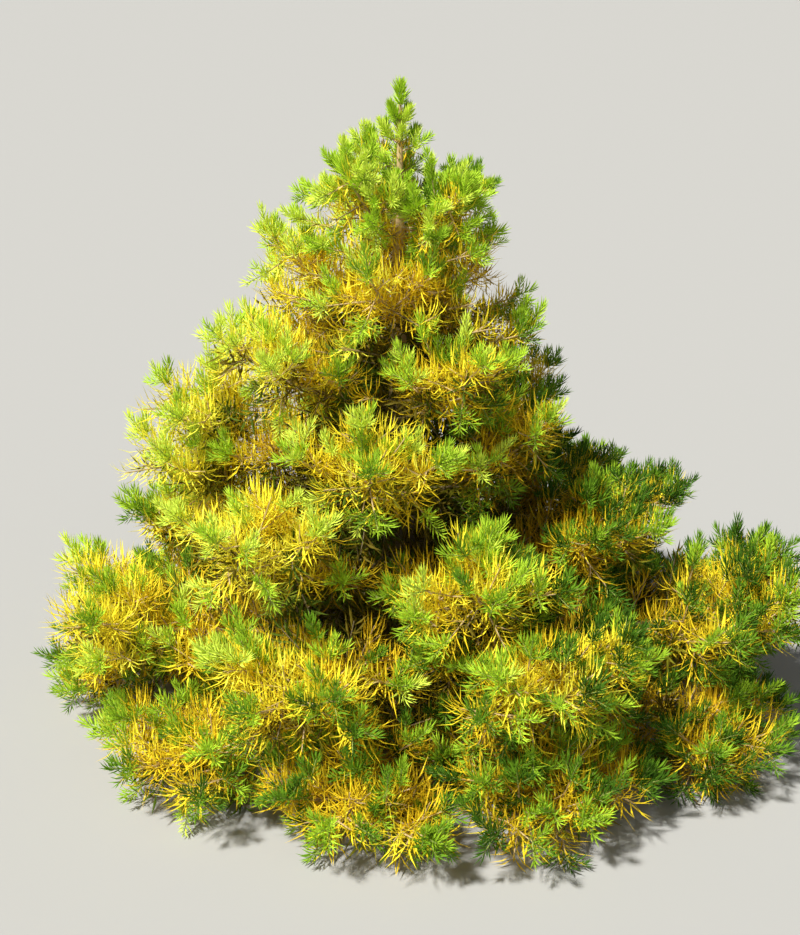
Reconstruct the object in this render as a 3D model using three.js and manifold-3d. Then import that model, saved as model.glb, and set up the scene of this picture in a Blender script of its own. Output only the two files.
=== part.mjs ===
// Wintergold white fir: a dwarf golden fir, dense and broad, wider than it is tall, its lowest boughs
// lying on the ground. Millimetres, +Z up. The origin is the middle of the flat cut under the trunk.
// +X is the side where the low boughs reach furthest, and -Y is the front.

import * as THREE from 'three';
import { mergeVertices } from 'three/addons/utils/BufferGeometryUtils.js';
import Module from 'manifold-3d';

const wasm = await Module();
wasm.setup();

// Trunk. It ends where this year's leader begins, well under the crown's tip.
const TRUNK_TOP = 1118;
const TRUNK_TOP_RADIUS = 5.5;
const TRUNK_FOOT_RADIUS = 34;
const TRUNK_TAPER = 0.9;
const TRUNK_SIDES = 12;
const TRUNK_RINGS = 12;
const TRUNK_RING_CROWDING = 1.6;
const TRUNK_BEND = 4;
const FLARE = 13;
const FLARE_HEIGHT = 30;
const FLARE_LOBES = 5;
const FLARE_LOBE_DEPTH = 0.14;

// The gap between touching solids.
const CLEARANCE = 0.3;

// The tiers of limbs, from the ground up. foot is the height where a tier leaves the trunk, tip the height
// of its tips, tilt what the tips gain towards +X, and right, front, left and back how far its needles
// reach. turn is the bearing of its first limb in degrees, counted from +X against the clock. A tier with
// boughs has bare limbs that carry its foliage. The foliage of the others starts at the trunk. spray is the
// size of a tier's sprays, and year the yearly growth of its limbs.
const TIERS = [
  { name: 'skirt', count: 10, turn: 6, foot: 88, tip: 84, tilt: 10, right: 900, front: 770, left: 800,
    back: 790, limb: 10, year: 142, spray: 1.4, boughs: true },
  { name: 'low', count: 7, turn: -10, foot: 175, tip: 256, tilt: 12, right: 900, front: 690, left: 770,
    back: 540, limb: 10, year: 142, spray: 1.4, boughs: true },
  { name: 'lower_middle', count: 6, turn: -12, foot: 300, tip: 430, tilt: -55, right: 570, front: 575,
    left: 590, back: 500, limb: 8, year: 140, spray: 1.35, boughs: false },
  { name: 'middle', count: 5, turn: 36, foot: 450, tip: 600, tilt: -10, right: 395, front: 480,
    left: 535, back: 470, limb: 7, year: 122, spray: 1.25, boughs: false },
  { name: 'upper_middle', count: 5, turn: 0, foot: 620, tip: 755, tilt: -10, right: 340, front: 390,
    left: 460, back: 390, limb: 6, year: 105, spray: 1.15, boughs: false },
  { name: 'upper', count: 4, turn: -8, foot: 800, tip: 905, tilt: -20, right: 245, front: 275,
    left: 320, back: 270, limb: 5, year: 85, spray: 1, boughs: false },
  { name: 'top', count: 4, turn: 40, foot: 965, tip: 1052, tilt: -60, right: 245, front: 150,
    left: 305, back: 150, limb: 4, year: 70, spray: 0.75, boughs: false },
];

// Limbs. Each leaves the trunk nearly level, rises late and sways a little. The plays are how far the limbs
// of a tier differ: in bearing as a share of their spacing, in reach as a share, in height in millimetres.
const LIMB_RISE = 1.4;
const LIMB_SAG = 12;
const LIMB_SWAY = 0.1;
const LIMB_TAPER = 0.9;
const LIMB_TIP_RADIUS = 2.2;
const LIMB_COLLAR = 1.35;
const LIMB_COLLAR_LENGTH = 0.06;
const LIMB_STEP = 0.02;
const LIMB_BANDS = 3;
const BOUGH_SIDES = 5;
const STEM_SIDES = 4;
const BEARING_PLAY = 0.16;
const REACH_PLAY = 0.05;
const TIP_PLAY = 18;
const BOUGH_END = 0.38;
const BOUGH_STAGGER = 16;
const STEM_STAGGER = 10;
const STEM_END = 0.95;

// Foliage. A limb bears a whorl for each year behind its tip: a side twig to the left and right, no longer
// than the room to the next limb, and in odd years one on top, save in the crowded upper tiers.
const YEAR_LEAD = 0.15;
const YEAR_PLAY = 0.08;
const BARE_SHARE = 0.25;
const BOUGH_BARE_SHARE = BOUGH_END + 0.03;
const SIDE_ANGLE = 56;
const SIDE_ANGLE_PLAY = 0.14;
const SIDE_SHARE = 1.05;
const SIDE_LEAST = 25;
const SIDE_ROOM = 1.25;
const SIDE_SPRAY = 42;
const SIDE_LIFT = 0.2;
const SIDE_LIFT_PLAY = 1.4;
const LENGTH_PLAY = 0.12;
const SIDE_STAGGER = 0.012;
const TOP_LEAST_SPRAY = 1;
const TOP_LENGTH = 46;
const TOP_ANGLE = 24;
const TOP_LIFT = 0.62;
const TWIG_RADIUS = 2.3;
const TURN_OUT = 0.25;
const TURN_UP = 0.18;

// A spray: a slim three-sided core with a needle raised on each face.
const SPRAY_RADIUS = 10;
const SPRAY_FOOT_RADIUS = 7;
const SPRAY_BAND = 30;
const SPRAY_TIP = 18;
const NEEDLE = 62;
const NEEDLE_PLAY = 0.12;
const NEEDLE_LEAN = 52;
const NEEDLE_LEAN_TIP = 27;
const NEEDLE_RISE = 0.14;
const NEEDLE_FITS = [1, 0.75, 0.5];
const FEWEST_NEEDLES = 4;

// The core of each mass: a lump along its limb, narrowed wherever it would leave its space.
const CORE_FROM = 0.16;
const BOUGH_CORE_FROM = BOUGH_END + 0.05;
const CORE_TO = 0.84;
const CORE_BANDS = 2;
const CORE_SWELL_FROM = 0.14;
const CORE_SWELL_TO = 0.84;
const CORE_SIDES = 5;
const CORE_WIDTH = 0.72;
const CORE_HEIGHT = 66;
const CORE_ROUGHNESS = 0.2;
const CORE_LEAST = 0.2;
const CORE_FIT_STEP = 0.1;

// The leader: this year's shoot on the trunk's tip, with two small whorls of short upright candles.
const LEADER_HEIGHT = 94;
const LEADER_RADII = [5.2, 4.2, 3];
const LEADER_WHORLS = [24, 66];
const LEADER_CANDLES = 4;
const LEADER_SPRAY = 0.45;
const CANDLE_SPRAY = 0.44;
const CANDLE_OUT = 13;
const CANDLE_RISE = 13;
const CANDLE_SPREAD = 0.75;

// Own space: a point belongs to the foliage whose stem is nearest, with heights weighted.
const HEIGHT_WEIGHT = 1.6;
const SPACE_MARGIN = 7;
const LIMB_MARGIN = 3;
const GROUND_MARGIN = 2;
const STEM_FROM = 0.06;
const STEM_STEPS = 8;
const BOUGH_STEPS = 5;
const TWIG_TEST = 0.6;
const NEEDLE_TESTS = [0.35, 0.7, 1];

const BARK = { color: 0x9b8568, roughness: 0.9, metalness: 0 };
const FOLIAGE = { color: 0xb9bf35, roughness: 0.6, metalness: 0 };
const LEADER_FOLIAGE = { color: 0x9fc23e, roughness: 0.6, metalness: 0 };

const UP = new THREE.Vector3(0, 0, 1);
const radians = THREE.MathUtils.degToRad;

// A small seeded generator of numbers between 0 and 1, so that every run grows the same plant.
function generator(number) {
  let state = (number * 1299709) % 2147483647;
  const next = () => {
    state = (state * 16807) % 2147483647;
    return state / 2147483647;
  };
  next();
  return next;
}

// A number from -1 to 1, and one within share of 1 on either side.
function swing(random) {
  return 2 * random() - 1;
}

function vary(random, share) {
  return 1 + share * swing(random);
}

function lerp(from, to, share) {
  return from.clone().lerp(to, share);
}

// A closed solid from its vertices and triangles.
function solid(vertices, triangles) {
  const geometry = new THREE.BufferGeometry();
  const numbers = vertices.flatMap((vertex) => vertex.toArray());
  geometry.setAttribute('position', new THREE.Float32BufferAttribute(numbers, 3));
  geometry.setIndex(triangles.flat());
  const merged = mergeVertices(geometry, 1e-4);
  return new wasm.Manifold(new wasm.Mesh({
    numProp: 3,
    vertProperties: merged.attributes.position.array,
    triVerts: new Uint32Array(merged.index.array),
  }));
}

// The two directions across a line, with side x up = along.
function across(along) {
  const side = new THREE.Vector3().crossVectors(UP, along);
  if (side.lengthSq() < 1e-4) {
    side.set(1, 0, 0);
  }
  side.normalize();
  return { side, up: new THREE.Vector3().crossVectors(along, side) };
}

// A closed tube through rings of vertices, all with the same number of sides.
function skin(rings) {
  const sides = rings[0].length;
  const triangles = [];
  for (let r = 0; r + 1 < rings.length; r += 1) {
    for (let j = 0; j < sides; j += 1) {
      const next = (j + 1) % sides;
      const [a, b] = [r * sides + j, r * sides + next];
      triangles.push([a, b, b + sides], [a, b + sides, a + sides]);
    }
  }
  const last = (rings.length - 1) * sides;
  for (let j = 1; j + 1 < sides; j += 1) {
    triangles.push([0, j + 1, j], [last, last + j, last + j + 1]);
  }
  return solid(rings.flat(), triangles);
}

// A ring of vertices round a centre, square to a direction.
function ring(centre, along, radius, sides, turn = 0) {
  const { side, up } = across(along);
  return Array.from({ length: sides }, (_, j) => {
    const angle = turn + (j / sides) * 2 * Math.PI;
    return centre.clone()
      .addScaledVector(side, radius * Math.cos(angle))
      .addScaledVector(up, radius * Math.sin(angle));
  });
}

// Trunk: its centre line, its radius at each height, and its solid, swelled where a clearance is cut.
function trunkCentre(height) {
  const turn = (2 * Math.PI * height) / TRUNK_TOP;
  return new THREE.Vector3(TRUNK_BEND * Math.sin(turn), -TRUNK_BEND * Math.sin(turn / 2), height);
}

function trunkRadius(height) {
  const share = THREE.MathUtils.clamp(1 - height / TRUNK_TOP, 0, 1);
  const body = TRUNK_TOP_RADIUS + (TRUNK_FOOT_RADIUS - TRUNK_TOP_RADIUS) * share ** TRUNK_TAPER;
  return body + FLARE * Math.exp(-height / FLARE_HEIGHT);
}

function trunkSolid(swell = 0) {
  const rings = [];
  for (let i = 0; i <= TRUNK_RINGS; i += 1) {
    const height = TRUNK_TOP * (i / TRUNK_RINGS) ** TRUNK_RING_CROWDING;
    const lobes = FLARE_LOBE_DEPTH * Math.exp(-height / (2 * FLARE_HEIGHT));
    const centre = trunkCentre(height);
    rings.push(Array.from({ length: TRUNK_SIDES }, (_, j) => {
      const angle = (j / TRUNK_SIDES) * 2 * Math.PI;
      const radius = trunkRadius(height) * (1 + lobes * Math.cos(FLARE_LOBES * angle)) + swell;
      const out = new THREE.Vector3(Math.cos(angle), Math.sin(angle), 0);
      return centre.clone().addScaledVector(out, radius);
    }));
  }
  return skin(rings);
}

// A tier's reach on a bearing.
function reachOn(tier, bearing) {
  const x = Math.cos(bearing);
  const y = Math.sin(bearing);
  return (x > 0 ? tier.right : tier.left) * x * x + (y < 0 ? tier.front : tier.back) * y * y;
}

// The sprays stand out past a limb's end by this much.
const SPRAY_REACH = SPRAY_BAND + SPRAY_TIP / 2 + NEEDLE * Math.cos(radians(NEEDLE_LEAN_TIP));

// A limb's measures: where it leaves the trunk, where it goes and how thick it is.
function makeLimb(tier, index, number) {
  const random = generator(number);
  const spacing = (2 * Math.PI) / tier.count;
  const bearing = radians(tier.turn) + spacing * (index + BEARING_PLAY * swing(random));
  const foot = tier.foot + (index % 2 ? 1 : -1) * (tier.boughs ? BOUGH_STAGGER : STEM_STAGGER);
  const reach = reachOn(tier, bearing) * vary(random, REACH_PLAY) - SPRAY_REACH * tier.spray;
  const tip = tier.tip + tier.tilt * Math.cos(bearing) + TIP_PLAY * swing(random);
  const sway = LIMB_SWAY * swing(random);
  return { name: `${tier.name}_${index + 1}`, tier, bearing, foot, reach, tip, sway, random };
}

// A point of the limb's centre line, from 0 at the trunk's middle to 1 at its end.
function limbPoint(limb, share) {
  const bearing = limb.bearing + limb.sway * Math.sin(Math.PI * share);
  const out = limb.reach * share;
  const rise = (limb.tip - limb.foot) * Math.max(share, 0) ** LIMB_RISE;
  const height = limb.foot + rise - LIMB_SAG * Math.sin(Math.PI * share);
  const centre = trunkCentre(limb.foot);
  return new THREE.Vector3(centre.x + out * Math.cos(bearing), centre.y + out * Math.sin(bearing), height);
}

function limbAlong(limb, share) {
  return limbPoint(limb, share + LIMB_STEP).sub(limbPoint(limb, share - LIMB_STEP)).normalize();
}

function limbRadius(limb, share) {
  const collar = 1 + (LIMB_COLLAR - 1) * Math.exp(-share / LIMB_COLLAR_LENGTH);
  return (LIMB_TIP_RADIUS + (limb.tier.limb - LIMB_TIP_RADIUS) * (1 - share) ** LIMB_TAPER) * collar;
}

// Half the way across to the tier's next limb.
function roomBeside(limb, share) {
  return (Math.PI * limb.reach * share) / limb.tier.count;
}

// A stretch of limb between two shares of its length.
function limbSolid(limb, from, to, bands, sides, gap = 0) {
  const rings = [];
  for (let i = 0; i <= bands; i += 1) {
    const share = from + ((to - from) * i) / bands;
    const along = limbAlong(limb, share);
    const centre = limbPoint(limb, share).addScaledVector(along, i === 0 ? gap : 0);
    rings.push(ring(centre, along, limbRadius(limb, share), sides));
  }
  return skin(rings);
}

// A shoot: a three-sided twig that runs on into a spray. A needle that would leave the mass's own space is
// shortened or left out, and with too few left there is no shoot.
function shootSolid(shoot, keeps) {
  const { start, end, heading, size, random } = shoot;
  const axis = end.clone().sub(start).normalize();
  const centres = [start, end, end.clone().addScaledVector(heading, SPRAY_BAND * size)];
  const tip = centres[2].clone().addScaledVector(heading, SPRAY_TIP * size);
  if (![end, lerp(start, end, TWIG_TEST), centres[2], tip].every(keeps)) {
    return null;
  }
  const rings = [
    ring(centres[0], axis, TWIG_RADIUS, 3),
    ring(centres[1], heading, SPRAY_FOOT_RADIUS * size, 3, Math.PI / 3),
    ring(centres[2], heading, SPRAY_RADIUS * size, 3, (2 * Math.PI) / 3),
  ];
  const vertices = [...rings.flat(), tip];
  const triangles = [[0, 2, 1]];
  let needles = 0;

  const raise = (face, lean) => {
    const length = NEEDLE * size * vary(random, NEEDLE_PLAY);
    const middle = new THREE.Vector3();
    face.forEach((corner) => middle.addScaledVector(vertices[corner], 1 / 3));
    const outward = middle.clone().sub(end);
    outward.addScaledVector(heading, -outward.dot(heading)).normalize();
    const line = outward.multiplyScalar(Math.sin(lean))
      .addScaledVector(heading, Math.cos(lean))
      .addScaledVector(UP, NEEDLE_RISE);
    const at = (share) => middle.clone().addScaledVector(line, length * share);
    const fit = NEEDLE_FITS.find((share) => NEEDLE_TESTS.every((along) => keeps(at(share * along))));
    if (!fit) {
      triangles.push(face);
      return;
    }
    needles += 1;
    vertices.push(at(fit));
    const apex = vertices.length - 1;
    const [a, b, c] = face;
    triangles.push([a, b, apex], [b, c, apex], [c, a, apex]);
  };

  for (let j = 0; j < 3; j += 1) {
    const next = (j + 1) % 3;
    triangles.push([j, next, 3 + j], [next, 3 + next, 3 + j]);
  }
  for (let j = 0; j < 3; j += 1) {
    const next = (j + 1) % 3;
    raise([3 + j, 3 + next, 6 + j], radians(NEEDLE_LEAN));
    raise([3 + next, 6 + next, 6 + j], radians(NEEDLE_LEAN));
    raise([6 + j, 6 + next, 9], radians(NEEDLE_LEAN_TIP));
  }
  return needles < FEWEST_NEEDLES ? null : solid(vertices, triangles);
}

// The core of a mass.
function coreSolid(limb, keeps) {
  const rings = [];
  const from = limb.tier.boughs ? BOUGH_CORE_FROM : CORE_FROM;
  for (let i = 0; i <= CORE_BANDS; i += 1) {
    const done = i / CORE_BANDS;
    const share = from + (CORE_TO - from) * done;
    const centre = limbPoint(limb, share);
    const { side, up } = across(limbAlong(limb, share));
    const swell = Math.sin(Math.PI * (CORE_SWELL_FROM + (CORE_SWELL_TO - CORE_SWELL_FROM) * done));
    const width = swell * CORE_WIDTH * roomBeside(limb, share);
    rings.push(Array.from({ length: CORE_SIDES }, (_, j) => {
      const angle = ((j + i / 2) / CORE_SIDES) * 2 * Math.PI;
      const out = side.clone().multiplyScalar(width * Math.cos(angle))
        .addScaledVector(up, swell * CORE_HEIGHT * Math.sin(angle))
        .multiplyScalar(vary(limb.random, CORE_ROUGHNESS));
      let fit = 1;
      while (fit > CORE_LEAST && !keeps(centre.clone().addScaledVector(out, fit))) {
        fit -= CORE_FIT_STEP;
      }
      return centre.clone().addScaledVector(out, fit);
    }));
  }
  return skin(rings);
}

// A side twig's course: it leaves its limb at an angle and bends outwards and up.
function sideShoot(limb, share, length, turn, lift, random) {
  const along = limbAlong(limb, share);
  const { side, up } = across(along);
  const leave = along.clone().multiplyScalar(Math.cos(turn))
    .addScaledVector(side, Math.sin(turn))
    .addScaledVector(up, lift)
    .normalize();
  const start = limbPoint(limb, share);
  const end = start.clone().addScaledVector(leave, length);
  const heading = leave.clone().addScaledVector(along, TURN_OUT).addScaledVector(UP, TURN_UP).normalize();
  return { start, end, heading, size: limb.tier.spray, random };
}

// All shoots of a limb: the end one, then a whorl for each year behind the tip.
function limbShoots(limb) {
  const { random } = limb;
  const heading = limbAlong(limb, 1).addScaledVector(UP, TURN_UP).normalize();
  const shoots = [{
    start: limbPoint(limb, STEM_END - LIMB_STEP),
    end: limbPoint(limb, 1),
    heading,
    size: limb.tier.spray,
    random,
  }];
  for (let year = 1; ; year += 1) {
    const behind = limb.tier.year * (year - YEAR_LEAD) * vary(random, YEAR_PLAY);
    const share = 1 - behind / limb.reach;
    if (share < (limb.tier.boughs ? BOUGH_BARE_SHARE : BARE_SHARE)) {
      return shoots;
    }
    for (const hand of [-1, 1]) {
      const turn = hand * radians(SIDE_ANGLE) * vary(random, SIDE_ANGLE_PLAY);
      const room = Math.max(SIDE_ROOM * roomBeside(limb, share) - SIDE_SPRAY * limb.tier.spray, SIDE_LEAST);
      const length = Math.min(SIDE_SHARE * behind, room) * vary(random, LENGTH_PLAY);
      const lift = SIDE_LIFT * vary(random, SIDE_LIFT_PLAY);
      shoots.push(sideShoot(limb, share + hand * SIDE_STAGGER, length, turn, lift, random));
    }
    if (year % 2 === 1 && limb.tier.spray > TOP_LEAST_SPRAY) {
      const length = TOP_LENGTH * limb.tier.spray * vary(random, LENGTH_PLAY);
      const turn = radians(TOP_ANGLE) * swing(random);
      shoots.push(sideShoot(limb, share - 2 * SIDE_STAGGER, length, turn, TOP_LIFT, random));
    }
  }
}

// The leader's shoots: one on its tip and its whorls of candles.
function leaderShoots(base, random) {
  const at = (height) => base.clone().addScaledVector(UP, height);
  const shoots = [{
    start: at(LEADER_HEIGHT - 2 * CANDLE_RISE),
    end: at(LEADER_HEIGHT - CANDLE_OUT),
    heading: UP.clone(),
    size: LEADER_SPRAY,
    random,
  }];
  LEADER_WHORLS.forEach((height, whorl) => {
    for (let i = 0; i < LEADER_CANDLES; i += 1) {
      const bearing = (2 * Math.PI * (i + whorl / 2 + SIDE_ANGLE_PLAY * random())) / LEADER_CANDLES;
      const out = new THREE.Vector3(Math.cos(bearing), Math.sin(bearing), 0);
      const start = at(height - CANDLE_RISE);
      const end = at(height).addScaledVector(out, CANDLE_OUT);
      const heading = UP.clone().addScaledVector(out, CANDLE_SPREAD).normalize();
      shoots.push({ start, end, heading, size: CANDLE_SPRAY, random });
    }
  });
  return shoots;
}

// Shortest way from a point to a line through points, with heights weighted.
function wayTo(point, line, weight) {
  let nearest = Infinity;
  for (let i = 0; i + 1 < line.length; i += 1) {
    const a = line[i];
    const [dx, dy, dz] = [line[i + 1].x - a.x, line[i + 1].y - a.y, weight * (line[i + 1].z - a.z)];
    const [px, py, pz] = [point.x - a.x, point.y - a.y, weight * (point.z - a.z)];
    const share = THREE.MathUtils.clamp((px * dx + py * dy + pz * dz) / (dx * dx + dy * dy + dz * dz), 0, 1);
    nearest = Math.min(nearest, Math.hypot(px - share * dx, py - share * dy, pz - share * dz));
  }
  return nearest;
}

// The stems that share out the space, and the limbs that foliage keeps clear of.
const limbs = [];
TIERS.forEach((tier) => {
  for (let i = 0; i < tier.count; i += 1) {
    limbs.push(makeLimb(tier, i, limbs.length + 1));
  }
});
const stems = limbs.map((limb) => Array.from({ length: STEM_STEPS + 1 }, (_, i) => (
  limbPoint(limb, STEM_FROM + ((1 - STEM_FROM) * i) / STEM_STEPS)
)));
const leaderFoot = trunkCentre(TRUNK_TOP);
stems.push([leaderFoot, leaderFoot.clone().addScaledVector(UP, LEADER_HEIGHT)]);
const boughs = limbs.filter((limb) => limb.tier.boughs).map((limb) => ({
  line: Array.from({ length: BOUGH_STEPS + 1 }, (_, i) => limbPoint(limb, (BOUGH_END * i) / BOUGH_STEPS)),
  clear: limb.tier.limb * LIMB_COLLAR + LIMB_MARGIN,
}));

// A test for points: whether one lies in a stem's own space, clear of the ground, the trunk and the boughs.
function keepsTo(own) {
  return (point) => {
    if (point.z < GROUND_MARGIN) {
      return false;
    }
    const centre = trunkCentre(point.z);
    const room = Math.hypot(point.x - centre.x, point.y - centre.y) - trunkRadius(point.z);
    if (point.z < TRUNK_TOP + LIMB_MARGIN && room < LIMB_MARGIN) {
      return false;
    }
    if (boughs.some(({ line, clear }) => wayTo(point, line, 1) < clear)) {
      return false;
    }
    const way = wayTo(point, stems[own], HEIGHT_WEIGHT) + SPACE_MARGIN;
    return stems.every((stem, i) => i === own || wayTo(point, stem, HEIGHT_WEIGHT) > way);
  };
}

// The main body of a solid, with sealed hollows and loose scraps left out.
function mainBody(body) {
  const pieces = body.simplify(0.02).decompose();
  return pieces.reduce((best, piece) => (piece.volume() > best.volume() ? piece : best));
}

// A stem with its shoots fused on.
function withShoots(stem, shoots, keeps) {
  let body = stem;
  for (const shoot of shoots) {
    const piece = shootSolid(shoot, keeps);
    body = piece ? body.add(piece) : body;
  }
  return mainBody(body);
}

const plant = new THREE.Group();

function addMesh(name, body, look) {
  const { vertProperties, triVerts } = body.getMesh();
  const geometry = new THREE.BufferGeometry();
  geometry.setAttribute('position', new THREE.BufferAttribute(vertProperties, 3));
  geometry.setIndex(new THREE.BufferAttribute(triVerts, 1));
  geometry.computeVertexNormals();
  const mesh = new THREE.Mesh(geometry, new THREE.MeshStandardMaterial(look));
  mesh.name = name;
  plant.add(mesh);
}

const trunkClear = trunkSolid(CLEARANCE);
addMesh('trunk', trunkSolid(), BARK);

limbs.forEach((limb, i) => {
  let stem;
  if (limb.tier.boughs) {
    const bough = limbSolid(limb, 0, BOUGH_END, LIMB_BANDS, BOUGH_SIDES).subtract(trunkClear);
    addMesh(`bough_${limb.name}`, mainBody(bough), BARK);
    stem = limbSolid(limb, BOUGH_END, STEM_END, LIMB_BANDS, STEM_SIDES, CLEARANCE);
  } else {
    stem = limbSolid(limb, 0, STEM_END, LIMB_BANDS + 1, STEM_SIDES).subtract(trunkClear);
  }
  const shoots = limbShoots(limb);
  const keeps = keepsTo(i);
  const core = coreSolid(limb, keeps);
  addMesh(`foliage_${limb.name}`, withShoots(stem.add(core), shoots, keeps), FOLIAGE);
});

const leaderStem = skin(LEADER_RADII.map((radius, i) => {
  const share = i / (LEADER_RADII.length - 1);
  const height = CLEARANCE + share * (LEADER_HEIGHT - CANDLE_RISE - CLEARANCE);
  return ring(leaderFoot.clone().addScaledVector(UP, height), UP, radius, 6);
}));
const leaderTwigs = leaderShoots(leaderFoot, generator(limbs.length + 1));
addMesh('foliage_leader', withShoots(leaderStem, leaderTwigs, keepsTo(limbs.length)), LEADER_FOLIAGE);

export default plant;
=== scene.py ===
# %% [markdown]
# A dwarf golden white fir, dressed for the camera.
# The frame holds a plain solid for the trunk, for each bough and for each mass of foliage.
# This lesson grows the same plant again from the same rule and carries it on to the finest parts:
# twigs, this year's soft lime shoots, and the long golden needles of the years before.
# Everything is in metres, with +Z up, the front towards -Y, and the origin under the trunk.

import math
from types import SimpleNamespace

import bpy
import numpy as np
from mathutils import Color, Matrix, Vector, noise


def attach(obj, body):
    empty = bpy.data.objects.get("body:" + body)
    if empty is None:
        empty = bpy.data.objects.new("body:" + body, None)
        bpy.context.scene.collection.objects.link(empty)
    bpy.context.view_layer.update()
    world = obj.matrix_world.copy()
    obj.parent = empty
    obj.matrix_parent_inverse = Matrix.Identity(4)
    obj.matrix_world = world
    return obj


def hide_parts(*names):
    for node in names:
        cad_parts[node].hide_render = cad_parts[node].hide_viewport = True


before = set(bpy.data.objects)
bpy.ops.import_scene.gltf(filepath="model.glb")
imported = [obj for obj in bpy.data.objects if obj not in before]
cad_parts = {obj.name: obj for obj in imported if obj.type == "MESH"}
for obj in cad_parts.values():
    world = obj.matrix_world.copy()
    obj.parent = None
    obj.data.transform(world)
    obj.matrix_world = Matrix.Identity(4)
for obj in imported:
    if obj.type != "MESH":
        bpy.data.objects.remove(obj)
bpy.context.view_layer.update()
nodes = sorted(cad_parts)
print("solids in the frame:", len(nodes))

# %% [markdown]
# The stage comes first, so that every later look at the plant is taken in the same light.
# The floor is a plain pale sheet, so large that its far edge lies close to the horizon.

# %% The floor
UP = Vector((0, 0, 1))
FLOOR_SIDE = 160
FLOOR_COLOR = (0.46, 0.455, 0.44)
SHARP_ANGLE = math.radians(50)


def mesh_object(name, vertices, faces, material=None, smooth=False, edges=()):
    """A new object with its place in its mesh."""
    mesh = bpy.data.meshes.new(name)
    mesh.from_pydata(vertices, edges, faces)
    if smooth:
        mesh.shade_smooth()
        mesh.set_sharp_from_angle(angle=SHARP_ANGLE)
    if material:
        mesh.materials.append(material)
    thing = bpy.data.objects.new(name, mesh)
    bpy.context.scene.collection.objects.link(thing)
    return thing


def plain_material(name, color, roughness, specular):
    """A plain finish: one colour and one gloss, in linear values."""
    material = bpy.data.materials.new(name)
    material.use_nodes = True
    shader = material.node_tree.nodes["Principled BSDF"]
    shader.inputs["Base Color"].default_value = (*color, 1)
    shader.inputs["Roughness"].default_value = roughness
    shader.inputs["Specular IOR Level"].default_value = specular
    material.diffuse_color = (*color, 1)
    return material


half = FLOOR_SIDE / 2
floor = mesh_object(
    "floor",
    [(-half, -half, 0), (half, -half, 0), (half, half, 0), (-half, half, 0)],
    [(0, 1, 2, 3)],
    plain_material("pale_floor", FLOOR_COLOR, roughness=0.95, specular=0.1),
)
print("floor side:", FLOOR_SIDE)

# %% [markdown]
# The light is a soft key from the upper left and in front, a weak fill from the right,
# and a weak sky that is palest at the horizon. The key has to be the stronger by far, because
# a conifer's depth is all in the shade between its sprays. It is a sun lamp with a wide disc,
# which lights the whole floor evenly and still gives soft shadows.

# %% The lamps
def sun_light(name, place, strength, disc, color):
    """A sun lamp that shines from a place towards the origin, with a disc in degrees."""
    data = bpy.data.lights.new(name, "SUN")
    data.energy = strength
    data.angle = math.radians(disc)
    data.color = color
    lamp = bpy.data.objects.new(name, data)
    lamp.rotation_euler = Vector(place).to_track_quat("Z", "Y").to_euler()
    bpy.context.scene.collection.objects.link(lamp)


sun_light("key", place=(-0.66, -0.62, 1.25), strength=5.3, disc=5, color=(1.0, 0.99, 0.95))
sun_light("fill", place=(0.5, -0.9, 0.6), strength=0.22, disc=50, color=(0.95, 0.97, 1.0))
print("lamps:", [light.name for light in bpy.data.lights])

# %% The sky
SKY_COLOR = (0.96, 0.98, 1.0, 1)
# How high a line of sight points, and the light that comes along it.
SKY_FADE = {"From Min": 0.1, "From Max": 0.6, "To Min": 0.42, "To Max": 0.08}
sky = bpy.data.worlds.new("sky")
sky.use_nodes = True
sky_nodes, sky_links = sky.node_tree.nodes, sky.node_tree.links
background = sky_nodes["Background"]
background.inputs["Color"].default_value = SKY_COLOR
sight = sky_nodes.new("ShaderNodeTexCoord")
sight_parts = sky_nodes.new("ShaderNodeSeparateXYZ")
fade = sky_nodes.new("ShaderNodeMapRange")
for label, value in SKY_FADE.items():
    fade.inputs[label].default_value = value
sky_links.new(sight.outputs["Generated"], sight_parts.inputs[0])
sky_links.new(sight_parts.outputs["Z"], fade.inputs["Value"])
sky_links.new(fade.outputs["Result"], background.inputs["Strength"])
bpy.context.scene.world = sky
bpy.context.scene.view_settings.view_transform = "Standard"
print("nodes of the sky:", len(sky_nodes))

# %% [markdown]
# The camera stands at about eye height and looks down a little, as one does at a small tree.
# Its place, pitch and lens were worked out from the photo's ground and the height of the plant.

# %% The camera
CAMERA_DISTANCE = 2.70
CAMERA_HEIGHT = 1.50
CAMERA_PITCH = 20.55
FOCAL_PIXELS = 1440
PICTURE_HEIGHT = 935
SENSOR = 36

camera_data = bpy.data.cameras.new("camera")
camera_data.sensor_width = SENSOR
camera_data.lens = SENSOR * FOCAL_PIXELS / PICTURE_HEIGHT
camera = bpy.data.objects.new("camera", camera_data)
camera.location = (0, -CAMERA_DISTANCE, CAMERA_HEIGHT)
camera.rotation_euler = (math.radians(90 - CAMERA_PITCH), 0, 0)
bpy.context.scene.collection.objects.link(camera)
bpy.context.scene.camera = camera
print("lens:", round(camera_data.lens, 2))

# %% [markdown]
# The growth rule. A fir grows by the year: the trunk puts out a whorl of limbs, and each limb
# puts out a whorl of side twigs for each year behind its tip. Here the trunk has seven tiers of limbs.
# They could be placed one by one, but a rule is shorter and can be carried on to the finest twigs.
# It draws its irregularities from a small seeded generator, so it grows the same plant every time,
# and the same plant as the solids in the frame.

# %% The seeded generator
MODULUS = 2147483647
MULTIPLIER = 16807
SEED_STEP = 1299709


def generator(number):
    """Numbers between 0 and 1 that are the same on every run."""
    state = (number * SEED_STEP) % MODULUS

    def draw():
        nonlocal state
        state = (state * MULTIPLIER) % MODULUS
        return state / MODULUS

    draw()
    return draw


def swing(draw):
    """A number from -1 to 1."""
    return 2 * draw() - 1


def vary(draw, share):
    """A number within a share of 1."""
    return 1 + share * swing(draw)


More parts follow.
